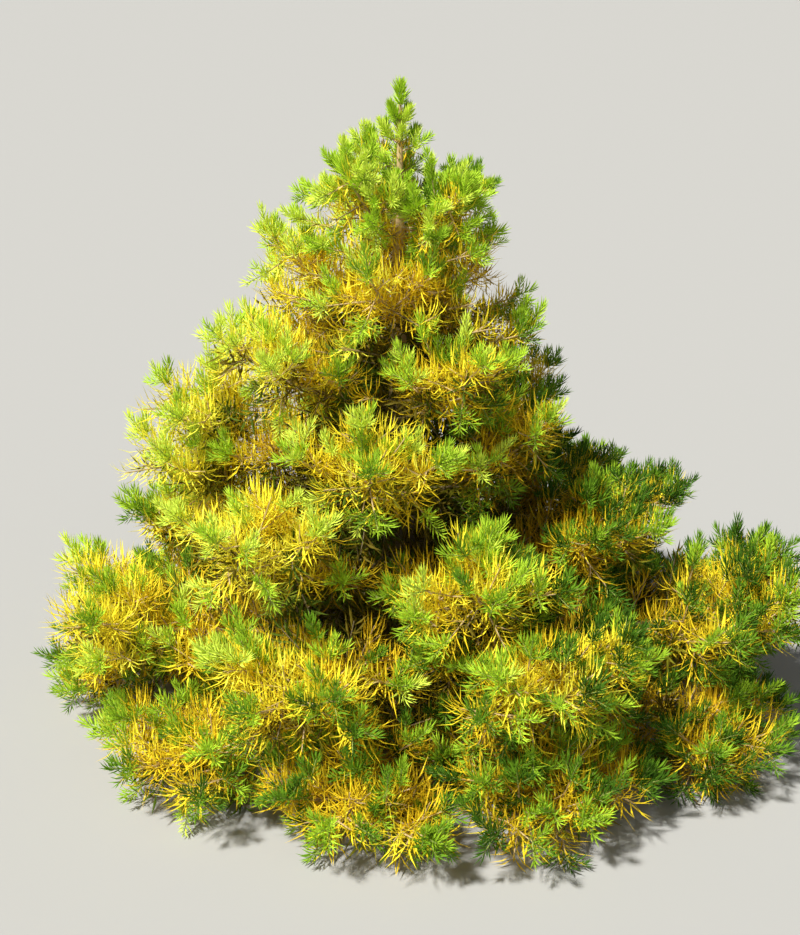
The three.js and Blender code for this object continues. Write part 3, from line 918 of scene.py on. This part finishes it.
leader_foot = trunk_centre(TRUNK_TOP)
leader_draw = generator(len(limbs) + 1)
fine_draw = generator(FINE_SEED + len(limbs))
leader = new_mass("foliage_leader")
candles = []
for whorl, height in enumerate(LEADER_WHORLS):
    for i in range(LEADER_CANDLES):
        bearing = 2 * math.pi * (i + whorl / 2 + SIDE_ANGLE_PLAY * leader_draw()) / LEADER_CANDLES
        out = outwards(bearing)
        play = UP * CANDLE_PLAY * swing(fine_draw)
        start = leader_foot + UP * (height - CANDLE_RISE) + play
        end = leader_foot + UP * (height - whorl * CANDLE_RISE) + out * CANDLE_REACHES[whorl] + play
        heading = (UP + out * CANDLE_SPREAD).normalized()
        add_wood(leader, "golden", [start, end], *ARM_RADII)
        length = CANDLE_LENGTH * vary(fine_draw, CANDLE_LENGTH_PLAY)
        candles.append((end - heading * CANDLE_OVERLAP, heading, length))
for place, heading, length in candles:
    line = [place, place + heading * length]
    add_wood(leader, "new", line, *CANDLE_RADII)
    add_needles(leader, "new", line, CANDLE_NEEDLE, int(CANDLE_TINTS * fine_draw()))
tip_line = [leader_foot + UP * (LEADER_HEIGHT + rise) for rise in (-TIP_BRUSH, TIP_BRUSH)]
add_wood(leader, "new", tip_line, *TIP_RADII)
collar = [trunk_centre(TRUNK_TOP - COLLAR_BELOW), leader_foot + UP * LEADER_WHORLS[1]]
add_needles(leader, "golden", collar, COLLAR_NEEDLE, COLLAR_TINT)
masses = [limb.mass for limb in limbs] + [leader]
print("candles:", len(candles))

# %% Shoots on the stem under the leader
STEM_SHOOTS = 5
STEM_SHOOT_FROM = 1.055
STEM_SHOOT_TO = 1.125
STEM_SHOOT_LENGTH = 0.028
STEM_SHOOT_SIZE = 0.6
STEM_SHOOT_RISE = 0.45
FIRST_BEARING, BEARING_SPAN = -20, 220
for i in range(STEM_SHOOTS):
    share = i / (STEM_SHOOTS - 1)
    rise = (2 * i + STEM_SHOOTS - 1) % STEM_SHOOTS / STEM_SHOOTS
    start = trunk_centre(STEM_SHOOT_FROM + (STEM_SHOOT_TO - STEM_SHOOT_FROM) * rise)
    bearing = math.radians(FIRST_BEARING + BEARING_SPAN * share)
    out = outwards(bearing, STEM_SHOOT_RISE).normalized()
    mass = nearest_mass(start, share=1)
    last_year(mass, start, out, STEM_SHOOT_LENGTH, STEM_SHOOT_SIZE, SIDE_TUFT, fine_draw)
tell_growth(masses)

# %% [markdown]
# Needles and twigs repeat tens of thousands of times. Hair would grow them too, but an export
# drops it, so Geometry Nodes place plain meshes and realize them.
# The trees below are built node by node. A small class keeps that readable: each of its methods
# adds a node, fills its sockets and returns what comes out.

# %% A maker of nodes
class Maker:
    """Short ways to build a node tree."""

    def __init__(self, tree):
        self.tree = tree

    def fill(self, socket, value):
        """Links a socket or gives it a plain value."""
        if isinstance(value, bpy.types.NodeSocket):
            self.tree.links.new(value, socket)
        else:
            socket.default_value = value

    def add(self, kind, sockets=None, **settings):
        """A node with its settings, and its sockets by name or by number."""
        node = self.tree.nodes.new(kind)
        for key, value in settings.items():
            setattr(node, key, value)
        for key, value in (sockets or {}).items():
            self.fill(node.inputs[key], value)
        return node

    def number(self, operation, *values):
        return self.add("ShaderNodeMath", dict(enumerate(values)), operation=operation).outputs[0]

    def vector(self, operation, *values):
        return self.add("ShaderNodeVectorMath", dict(enumerate(values)), operation=operation).outputs[0]

    def scaled(self, vector, number):
        sockets = {0: vector, "Scale": number}
        return self.add("ShaderNodeVectorMath", sockets, operation="SCALE").outputs[0]

    def turned(self, first, second, angle):
        """A direction at an angle from the first one, towards the second."""
        near = self.scaled(first, self.number("COSINE", angle))
        return self.vector("ADD", near, self.scaled(second, self.number("SINE", angle)))

    def joined(self, **parts):
        return self.add("ShaderNodeCombineXYZ", parts).outputs[0]

    def parts(self, vector):
        return self.add("ShaderNodeSeparateXYZ", {0: vector}).outputs

    def named(self, label):
        """A number that the lines carry."""
        return self.add("GeometryNodeInputNamedAttribute", {"Name": label}, data_type="FLOAT").outputs[0]


print("ways to add a node:", [name for name in vars(Maker) if not name.startswith("_")])

# %% New trees, and trees at work
SOCKETS = dict(
    geometry="NodeSocketGeometry",
    number="NodeSocketFloat",
    count="NodeSocketInt",
    thing="NodeSocketObject",
    material="NodeSocketMaterial",
    color="NodeSocketColor",
    vector="NodeSocketVector",
)


def new_tree(name, inputs, kind="GeometryNodeTree", outputs=(("Geometry", "geometry"),)):
    """A maker for an empty tree, with the tree's named inputs and outputs."""
    tree = bpy.data.node_groups.new(name, kind)
    for label, socket in inputs:
        tree.interface.new_socket(label, in_out="INPUT", socket_type=SOCKETS[socket])
    for label, socket in outputs:
        tree.interface.new_socket(label, in_out="OUTPUT", socket_type=SOCKETS[socket])
    maker = Maker(tree)
    return maker, maker.add("NodeGroupInput").outputs, maker.add("NodeGroupOutput").inputs


def settle(thing, tree, values):
    """Runs a tree on an object and keeps the plain mesh that comes out."""
    modifier = thing.modifiers.new(tree.name, "NODES")
    modifier.node_group = tree
    for item in tree.interface.items_tree:
        if item.in_out == "INPUT" and item.name in values:
            modifier[item.identifier] = values[item.name]
    graph = bpy.context.evaluated_depsgraph_get()
    mesh = bpy.data.meshes.new_from_object(thing.evaluated_get(graph), depsgraph=graph)
    thing.modifiers.remove(modifier)
    old = thing.data
    thing.data = mesh
    bpy.data.meshes.remove(old)
    mesh.name = thing.name
    return thing


def triangles(thing):
    return sum(len(polygon.vertices) - 2 for polygon in thing.data.polygons)


print("kinds of socket:", len(SOCKETS))

# %% [markdown]
# One tree grows needles along lines. It walks along each line in even steps, and each step turns on
# round the twig by the golden angle, as leaves do on a real shoot. A needle leans away from the twig
# at the foot and forwards at the tip, and curves up towards the light.
# The needle itself is a closed kite: four faces on a short new one, and six on a long golden one,
# which bends where it is widest. Among thousands, more faces wouldn't show.

# %% The needle
def short_needle(name, widest, depth):
    """A needle one unit long with four faces: a slim kite with a keel."""
    vertices = [(0, 0, 0), (-1, -depth, widest), (1, -depth, widest), (0, 0, 1)]
    return mesh_object(name, vertices, [(0, 2, 1), (1, 2, 3), (0, 1, 3), (0, 3, 2)])


def long_needle(name, widest, curve, depth):
    """A needle one unit long with six faces, which bends where it is widest."""
    ring = [(-1, -curve, widest), (1, -curve, widest), (0, -curve - depth, widest)]
    faces = []
    for j in range(3):
        after = (j + 1) % 3
        faces += [(0, 1 + after, 1 + j), (1 + j, 1 + after, 4)]
    return mesh_object(name, [(0, 0, 0), *ring, (0, 0, 1)], faces)


new_needle = short_needle("new_needle", widest=0.45, depth=0.07)
golden_needle = long_needle("golden_needle", widest=0.48, curve=0.11, depth=0.02)
print("faces of a needle:", triangles(new_needle), "and", triangles(golden_needle))

# %% The tree that grows needles: its inputs and its steps
TINT_SOCKETS = [f"Tint {i + 1}" for i in range(max(NEW_TINTS, GOLDEN_TINTS))]
NUMBER_SOCKETS = ("Spacing", "Half Width", "Foot Lean", "Tip Lean", "Rise", "Play")
t, given, result = new_tree(
    "needles_on_twigs",
    [
        ("Geometry", "geometry"),
        ("Needle", "thing"),
        *[(label, "number") for label in NUMBER_SOCKETS],
        ("Seed", "count"),
        *[(label, "material") for label in TINT_SOCKETS],
    ],
)
needle_tree = t.tree

lines = t.add("GeometryNodeMeshToCurve", {"Mesh": given["Geometry"]}).outputs["Curve"]
keep_share = t.add("GeometryNodeCaptureAttribute", {"Geometry": lines}, domain="POINT")
keep_share.capture_items.new("FLOAT", "Share")
t.fill(keep_share.inputs["Share"], t.add("GeometryNodeSplineParameter").outputs["Factor"])
walk = t.add(
    "GeometryNodeCurveToPoints",
    {"Curve": keep_share.outputs["Geometry"], "Length": given["Spacing"]},
    mode="LENGTH",
)
share = keep_share.outputs["Share"]
print("inputs:", len(given), "nodes so far:", len(t.tree.nodes))

# %% Which way a needle points, and how long it is
TURN_PLAY = 0.4
END_SHORTER = -0.3
NEEDLE_LENGTHS = (0.82, 1.12)


def random_number(low, high, seed_shift):
    """A seeded random number for each needle."""
    node = t.add("FunctionNodeRandomValue", data_type="FLOAT")
    t.fill(node.inputs[2], low)
    t.fill(node.inputs[3], high)
    t.fill(node.inputs["Seed"], t.number("ADD", given["Seed"], seed_shift))
    return node.outputs[1]


count = t.add("GeometryNodeInputIndex").outputs[0]
turn = t.number("MULTIPLY", count, GOLDEN_ANGLE)
turn = t.number("ADD", turn, random_number(-TURN_PLAY, TURN_PLAY, 1))
lean_gain = t.number("SUBTRACT", given["Tip Lean"], given["Foot Lean"])
lean = t.number("MULTIPLY_ADD", share, lean_gain, given["Foot Lean"])
least, most = t.number("SUBTRACT", 1, given["Play"]), t.number("ADD", 1, given["Play"])
lean = t.number("MULTIPLY", lean, random_number(least, most, 2))
tangent, normal = walk.outputs["Tangent"], walk.outputs["Normal"]
outward = t.turned(normal, t.vector("CROSS_PRODUCT", tangent, normal), turn)
direction = t.vector("ADD", t.turned(tangent, outward, lean), t.joined(Z=given["Rise"]))
direction = t.vector("NORMALIZE", direction)
middle = t.number("MULTIPLY_ADD", share, 2, -1)
profile = t.number("MULTIPLY_ADD", t.number("MULTIPLY", middle, middle), END_SHORTER, 1)
length = t.number("MULTIPLY", t.named("needle"), profile)
length = t.number("MULTIPLY", length, random_number(*NEEDLE_LENGTHS, 3))
print("nodes so far:", len(t.tree.nodes))

# %% Needles stay above the ground
# A needle that would dip under the ground is bent up along it.
LOWEST_NEEDLE = 0.006
height = t.parts(t.add("GeometryNodeInputPosition").outputs[0])["Z"]
lowest = t.number("DIVIDE", t.number("SUBTRACT", LOWEST_NEEDLE, height), length)
direction_parts = t.parts(direction)
raised = t.number("MAXIMUM", direction_parts["Z"], lowest)
flat = t.vector("NORMALIZE", t.joined(X=direction_parts["X"], Y=direction_parts["Y"]))
level = t.number("SQRT", t.number("SUBTRACT", 1, t.number("MULTIPLY", raised, raised)))
direction = t.vector("ADD", t.scaled(flat, level), t.joined(Z=raised))
print("nodes so far:", len(t.tree.nodes))

# %% A needle on each step
SAME_TINT = 0.4


def dealt_out(t, body, finishes, spent):
    """Sets each face's material by the tint of its stretch, and drops the named numbers that are spent."""
    for i, finish in enumerate(finishes):
        this_one = t.number("COMPARE", t.named("tint"), float(i), SAME_TINT)
        sockets = {"Geometry": body, "Selection": this_one, "Material": finish}
        body = t.add("GeometryNodeSetMaterial", sockets).outputs[0]
    for label in spent:
        body = t.add("GeometryNodeRemoveAttribute", {"Geometry": body, "Name": label}).outputs[0]
    return body


aim = t.add("FunctionNodeAlignRotationToVector", {"Vector": direction}, axis="Z").outputs[0]
aim = t.add(
    "FunctionNodeAlignRotationToVector",
    {"Rotation": aim, "Vector": t.joined(Z=1.0)},
    axis="Y",
    pivot_axis="Z",
).outputs[0]
size = t.joined(X=given["Half Width"], Y=length, Z=length)
one_needle = t.add("GeometryNodeObjectInfo", {"Object": given["Needle"]}).outputs["Geometry"]
spread = t.add(
    "GeometryNodeInstanceOnPoints",
    {"Points": walk.outputs["Points"], "Instance": one_needle, "Rotation": aim, "Scale": size},
).outputs[0]
body = t.add("GeometryNodeRealizeInstances", {0: spread}).outputs[0]
body = dealt_out(t, body, [given[label] for label in TINT_SOCKETS], ["tint", "needle"])
t.fill(result["Geometry"], body)
print("nodes in the tree:", len(t.tree.nodes))

# %% Lines that a tree can read
def line_object(name, label, rows):
    """An object of open lines, with a named number at each point, and its line's tint."""
    vertices, edges, numbers, tints = [], [], [], []
    for points, values, tint in rows:
        first = len(vertices)
        edges += [(first + i, first + i + 1) for i in range(len(points) - 1)]
        vertices += points
        numbers += values
        tints += [float(tint)] * len(points)
    thing = mesh_object(name, vertices, [], edges=edges)
    for key, column in ((label, numbers), ("tint", tints)):
        thing.data.attributes.new(key, "FLOAT", "POINT").data.foreach_set("value", column)
    return thing


def run_length(points):
    return sum((b - a).length for a, b in zip(points, points[1:]))


print("longest new shoot:", round(max(run_length(s[0]) for m in masses for s in m["new"]), 3))

# %% [markdown]
# Needles have a thin wax on them and a plain colour each, so each tint is a plain finish. An image
# could tint them as well, but a needle is far too small to show one.
# What makes the crown lively is how the tints are dealt out, spray by spray, which also paints light and
# shade into it.

# %% Tints of the needles
def tint_set(name, codes, roughness, specular):
    """Plain finishes from colours written as they look on a screen."""
    finishes = []
    for i, code in enumerate(codes):
        color = Color([int(code[j : j + 2], 16) / 255 for j in (0, 2, 4)]).from_srgb_to_scene_linear()
        finishes.append(plain_material(f"{name}_{i + 1}", tuple(color), roughness, specular))
    return finishes


# Tints run from pale to deep; the deep ones serve partly as shaded copies, for painted shade.
NEW_CODES = ("d8ec54", "b8da38", "9abe2c", "6e9822", "446a16")
GOLDEN_CODES = ("fff850", "fcea36", "f2d227", "d6b01d", "907c14")
# The inner tints are dark partly as painted shade inside the crown.
INNER_CODES = ("727018", "526618", "645816")
TINTS = {
    "new": tint_set("new_needle", NEW_CODES, roughness=0.65, specular=0.12),
    "golden": tint_set("golden_needle", GOLDEN_CODES, roughness=0.6, specular=0.15),
    "inner": tint_set("inner_needle", INNER_CODES, roughness=0.7, specular=0.1),
}
print("tints:", {age: len(finishes) for age, finishes in TINTS.items()})

# %% How needles stand on their twigs
def habit(needle, spacing, width, foot, tip, rise, play):
    """Values for the tree's inputs. foot and tip are how far needles lean out there, in degrees."""
    numbers = (spacing, width, math.radians(foot), math.radians(tip), rise, play)
    return {"Needle": needle, **dict(zip(NUMBER_SOCKETS, numbers))}


NEEDLE_HABITS = {
    "tip": habit(new_needle, spacing=0.0003, width=0.0016, foot=52, tip=32, rise=0.1, play=0.4),
    "candle": habit(new_needle, spacing=0.0005, width=0.0016, foot=60, tip=16, rise=0.1, play=0.14),
    "top": habit(new_needle, spacing=0.0009, width=0.0013, foot=62, tip=22, rise=0.3, play=0.16),
    "new": habit(new_needle, spacing=0.00155, width=0.00135, foot=68, tip=24, rise=0.5, play=0.18),
    "golden": habit(golden_needle, spacing=0.0033, width=0.0015, foot=70, tip=38, rise=0.34, play=0.2),
    "inner": habit(new_needle, spacing=0.0052, width=0.0028, foot=66, tip=44, rise=0.2, play=0.2),
}
print("needles on a metre:", {name: round(1 / one["Spacing"]) for name, one in NEEDLE_HABITS.items()})

# %% Needles on every stretch
PIECE_LIMIT = 170000
PIECE_SEED = 100
CANDLE_SEED = 7
TIP_SEED = 8
TIP_NEEDLE = 0.029
TIP_TINT = 1
foliage = []


def grow_piece(name, values, tints, stretches, names, seed):
    """One piece of needles, and the nodes that it stands for."""
    values = {**values, "Seed": seed, **dict(zip(TINT_SOCKETS, tints))}
    thing = settle(line_object(name, "needle", stretches), needle_tree, values)
    foliage.append((thing, names))
    print(thing.name, triangles(thing), "triangles")


def grow_age(age, masses, habit_name=None):
    """All needles of an age, in as many pieces as the limit asks for."""
    habit_name = habit_name or age
    values = NEEDLE_HABITS[habit_name]
    per_metre = triangles(values["Needle"]) / values["Spacing"]
    batches, load = [[]], 0
    for mass in masses:
        adds = per_metre * sum(run_length(points) for points, _, _ in mass[age])
        if load + adds > PIECE_LIMIT:
            batches.append([])
            load = 0
        batches[-1].append(mass)
        load += adds
    for number, batch in enumerate(batches, 1):
        stretches = [stretch for mass in batch for stretch in mass[age]]
        names = [mass["name"] for mass in batch]
        piece_name = f"{habit_name}_needles_{number}"
        grow_piece(piece_name, values, TINTS[age], stretches, names, PIECE_SEED * number)


top_masses = [limb.mass for limb in limbs if limb.tier.name == "top"]
grow_age("new", [mass for mass in masses[:-1] if mass not in top_masses])
grow_age("new", top_masses, "top")
grow_age("golden", masses)
grow_age("inner", masses[:-1])
tip_stretch = [(tip_line, [TIP_NEEDLE] * len(tip_line), TIP_TINT)]
for name, stretches, seed in (("candle", leader["new"], CANDLE_SEED), ("tip", tip_stretch, TIP_SEED)):
    grow_piece(f"{name}_needles", NEEDLE_HABITS[name], TINTS["new"], stretches, [leader["name"]], seed)

# %% [markdown]
# Twigs are thin tubes. A second tree puts a small ring along each line, with the thickness that
# the line carries, and gives it the bark of its age. Three sides are enough for a tube this thin.

# %% The tree that grows twigs
TWIG_SIDES = 3
BARK_SOCKETS = [f"Bark {i + 1}" for i in range(len(AGES))]
wood_inputs = [("Geometry", "geometry"), ("Sides", "count"), *[(label, "material") for label in BARK_SOCKETS]]
t, given, result = new_tree("twigs", wood_inputs)
wood_tree = t.tree
lines = t.add("GeometryNodeMeshToCurve", {"Mesh": given["Geometry"]}).outputs["Curve"]
ring = t.add("GeometryNodeCurvePrimitiveCircle", {"Resolution": given["Sides"], "Radius": 1.0})
tube_sockets = {
    "Curve": lines,
    "Profile Curve": ring.outputs["Curve"],
    "Scale": t.named("thickness"),
    "Fill Caps": True,
}
tube = t.add("GeometryNodeCurveToMesh", tube_sockets).outputs[0]
tube = t.add("GeometryNodeRealizeInstances", {0: tube}).outputs[0]
tube = dealt_out(t, tube, [given[label] for label in BARK_SOCKETS], ["tint", "thickness"])
t.fill(result["Geometry"], tube)
print("nodes in the tree:", len(t.tree.nodes))

# %% [markdown]
# White fir bark is smooth and pale tan while it is young. With age it turns grey-tan, with fine upright
# cracks and small resin blisters. One shader group makes it for the trunk, the limbs and the leader's
# stem, and each sets its own values. Twigs are too thin to show it and have a plain finish for each age.

# %% The bark group
CRACK_STRETCH = (1, 1, 0.22)
CRACK_DETAIL = 6.0
PATCH_SCALE, PATCH_DETAIL, PATCH_AGE = 0.16, 3.0, 0.9
BLISTER_SCALE, BLISTER_STEEPNESS, BLISTER_LIGHT = 0.9, -5.0, 0.25
SHADE_LEAST, SHADE_RANGE = 0.62, 0.62
ROUGH_LEAST, ROUGH_RANGE = 0.68, 0.25
YOUNG_CRACKS = 0.3
BUMP_STRENGTH, BUMP_DISTANCE = 0.45, 0.0015
t, given, result = new_tree(
    "bark_look",
    [("Point", "vector"), ("Young", "color"), ("Old", "color"), ("Age", "number"), ("Grain", "number")],
    "ShaderNodeTree",
    [("Color", "color"), ("Roughness", "number"), ("Normal", "vector")],
)
bark_look = t.tree


def noise_of(point, scale, detail):
    return t.add("ShaderNodeTexNoise", {"Vector": point, "Scale": scale, "Detail": detail}).outputs["Fac"]


cracks = noise_of(t.vector("MULTIPLY", given["Point"], CRACK_STRETCH), given["Grain"], CRACK_DETAIL)
patches = noise_of(given["Point"], t.number("MULTIPLY", given["Grain"], PATCH_SCALE), PATCH_DETAIL)
blister_scale = t.number("MULTIPLY", given["Grain"], BLISTER_SCALE)
blister = t.add("ShaderNodeTexVoronoi", {"Vector": given["Point"], "Scale": blister_scale})
blister = t.number("MULTIPLY_ADD", blister.outputs["Distance"], BLISTER_STEEPNESS, 1.0)
blister = t.number("MAXIMUM", blister, 0.0)
age = t.number("ADD", given["Age"], t.number("MULTIPLY_ADD", patches, PATCH_AGE, -PATCH_AGE / 2))
age = t.add("ShaderNodeClamp", {"Value": age}).outputs[0]
base = t.add("ShaderNodeMix", {0: age, 6: given["Young"], 7: given["Old"]}, data_type="RGBA").outputs[2]
shade = t.number("MULTIPLY_ADD", cracks, SHADE_RANGE, SHADE_LEAST)
shade = t.number("ADD", shade, t.number("MULTIPLY", blister, BLISTER_LIGHT))
height = t.number("MULTIPLY", cracks, t.number("ADD", age, YOUNG_CRACKS))
height = t.number("ADD", height, blister)
bump = t.add("ShaderNodeBump", {"Strength": BUMP_STRENGTH, "Distance": BUMP_DISTANCE, "Height": height})
t.fill(result["Color"], t.scaled(base, shade))
t.fill(result["Roughness"], t.number("MULTIPLY_ADD", cracks, ROUGH_RANGE, ROUGH_LEAST))
t.fill(result["Normal"], bump.outputs["Normal"])
print("nodes in the bark group:", len(t.tree.nodes))

# %% The woods
YOUNG_BARK = (0.68, 0.50, 0.24, 1)
OLD_BARK = (0.27, 0.215, 0.155, 1)


def wood_material(name, grain, age):
    """A bark. age is a plain number, or two heights between which bark turns from old to young."""
    material = plain_material(name, YOUNG_BARK[:3], roughness=0.8, specular=0.25)
    t = Maker(material.node_tree)
    point = t.add("ShaderNodeTexCoord").outputs["Object"]
    if isinstance(age, tuple):
        ends = {"From Min": age[0], "From Max": age[1], "To Min": 1.0, "To Max": 0.0}
        age = t.add("ShaderNodeMapRange", {"Value": t.parts(point)["Z"], **ends}).outputs[0]
    look = t.add("ShaderNodeGroup", node_tree=bark_look)
    for key, value in dict(Point=point, Young=YOUNG_BARK, Old=OLD_BARK, Age=age, Grain=grain).items():
        t.fill(look.inputs[key], value)
    shader = t.tree.nodes["Principled BSDF"]
    for label, output in (("Base Color", "Color"), ("Roughness", "Roughness"), ("Normal", "Normal")):
        t.fill(shader.inputs[label], look.outputs[output])
    return material


trunk_bark = wood_material("trunk_bark", grain=60.0, age=(0.3, 0.85))
limb_bark = wood_material("limb_bark", grain=90.0, age=0.5)
stem_bark = wood_material("stem_bark", grain=140.0, age=0.15)
TWIG_BARKS = [
    plain_material("this_year_bark", (0.36, 0.42, 0.10), roughness=0.7, specular=0.2),
    plain_material("last_year_bark", (0.62, 0.46, 0.22), roughness=0.75, specular=0.2),
    plain_material("older_bark", (0.30, 0.235, 0.13), roughness=0.8, specular=0.2),
]
print("barks:", [bark.name for bark in (trunk_bark, limb_bark, stem_bark, *TWIG_BARKS)])

# %% Twigs on every line
twigs = line_object("twigs", "thickness", [line for mass in masses for line in mass["wood"]])
settle(twigs, wood_tree, {"Sides": TWIG_SIDES, **dict(zip(BARK_SOCKETS, TWIG_BARKS))})
print("twigs:", triangles(twigs), "triangles")

# %% [markdown]
# The trunk and the limbs have one mesh each, with the bark's coarser relief in it: ridges that run
# along the wood, and swellings where the limbs leave. A displaced tube would do as well, but here
# the relief is worked out ring by ring, so it follows the flare and the taper.

# %% Rings and tubes of wood
RIDGES = 2.6
RIDGE_DEPTH = 0.055
RIDGE_LENGTH = 14
RIDGE_SHIFT = 7
FINE_RIDGE_DEPTH, FINE_RIDGE_SCALE = 0.5, 2.3
FLARE_LOBES = 5


def relief(angle, run, number):
    """The ridges of the bark, as a share of the radius."""
    across_place = RIDGES * math.sin(angle) + RIDGE_SHIFT * number
    place = Vector((RIDGES * math.cos(angle), across_place, RIDGE_LENGTH * run))
    fine = FINE_RIDGE_DEPTH * noise.noise(place * FINE_RIDGE_SCALE)
    return RIDGE_DEPTH * (noise.noise(place) + fine)


def wood_ring(centre, side, up, radius, sides, run, number, lobes=0):
    """A ring of a trunk or limb, with its relief and the depth of its lobes."""
    points = []
    for j in range(sides):
        angle = 2 * math.pi * j / sides
        out = radius * (1 + relief(angle, run, number)) * (1 + lobes * math.cos(FLARE_LOBES * angle))
        points.append(centre + turned(side, up, angle) * out)
    return points


def wood_object(name, tubes, material):
    """One mesh of closed tubes, each given as its rings of points."""
    vertices, faces = [], []
    for rings in tubes:
        first, sides = len(vertices), len(rings[0])
        for points in rings:
            vertices += points
        for r in range(len(rings) - 1):
            for j in range(sides):
                a, b = first + r * sides + j, first + r * sides + (j + 1) % sides
                faces.append((a, b, b + sides, a + sides))
        faces.append(tuple(first + j for j in reversed(range(sides))))
        faces.append(tuple(first + (len(rings) - 1) * sides + j for j in range(sides)))
    return mesh_object(name, vertices, faces, material, smooth=True)


print("relief at most about", round(RIDGE_DEPTH * (1 + FINE_RIDGE_DEPTH), 3), "of the radius")

# %% The trunk
TRUNK_SIDES = 40
TRUNK_RINGS = 170
FOOT_CLOSER = 1.2
SWELLING = 0.16
SWELLING_HEIGHT = 0.022
FLARE_LOBE_DEPTH = 0.14
EAST, NORTH = Vector((1, 0, 0)), Vector((0, 1, 0))

trunk_rings = []
for i in range(TRUNK_RINGS + 1):
    height = TRUNK_TOP * (i / TRUNK_RINGS) ** FOOT_CLOSER
    nearest = min(abs(height - tier.foot) for tier in TIERS)
    radius = trunk_radius(height) * (1 + SWELLING * math.exp(-((nearest / SWELLING_HEIGHT) ** 2)))
    lobes = FLARE_LOBE_DEPTH * math.exp(-height / (2 * FLARE_HEIGHT))
    trunk_rings.append(wood_ring(trunk_centre(height), EAST, NORTH, radius, TRUNK_SIDES, height, 0, lobes))
trunk = wood_object("trunk_bark", [trunk_rings], trunk_bark)
print("trunk:", triangles(trunk), "triangles")

# %% The limbs and the leader's stem
LIMB_SIDES = 10
LIMB_RINGS = 36
LEADER_TIP_RADIUS = 0.003
LEADER_RINGS = 24


def limb_rings(limb, number):
    rings = []
    for i in range(LIMB_RINGS + 1):
        share = i / LIMB_RINGS
        side, up = across(limb_along(limb, share))
        centre, radius = limb_point(limb, share), limb_radius(limb, share)
        rings.append(wood_ring(centre, side, up, radius, LIMB_SIDES, share * limb.reach, number))
    return rings


limb_tubes = [limb_rings(limb, number) for number, limb in enumerate(limbs, 1)]
limb_wood = wood_object("limb_bark", limb_tubes, limb_bark)
leader_rings = []
for i in range(LEADER_RINGS + 1):
    share = i / LEADER_RINGS
    centre = leader_foot + UP * (LEADER_HEIGHT - CANDLE_RISE) * share
    radius = TRUNK_TOP_RADIUS + (LEADER_TIP_RADIUS - TRUNK_TOP_RADIUS) * share
    leader_rings.append(wood_ring(centre, EAST, NORTH, radius, LIMB_SIDES, centre.z, 0))
leader_stem = wood_object("leader_stem", [leader_rings], stem_bark)
woods = (trunk, limb_wood, leader_stem, twigs)
print("triangles of the woods:", [triangles(wood) for wood in woods])

# %% [markdown]
# Each piece hides the solids that it stands for. The plant has
# no moving parts, so all pieces ride on the root body.

# %% Hand the pieces to the frame
for needle in (new_needle, golden_needle):
    bpy.data.objects.remove(needle)
for piece, names in foliage:
    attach(piece, "root")
    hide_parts(*names)
for wood in woods:
    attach(wood, "root")
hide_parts("trunk")
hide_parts(*[name for name in nodes if name.startswith("bough_")])
pieces = [piece for piece, _ in foliage] + list(woods)
print("pieces:", len(pieces), "triangles in all:", sum(triangles(piece) for piece in pieces))
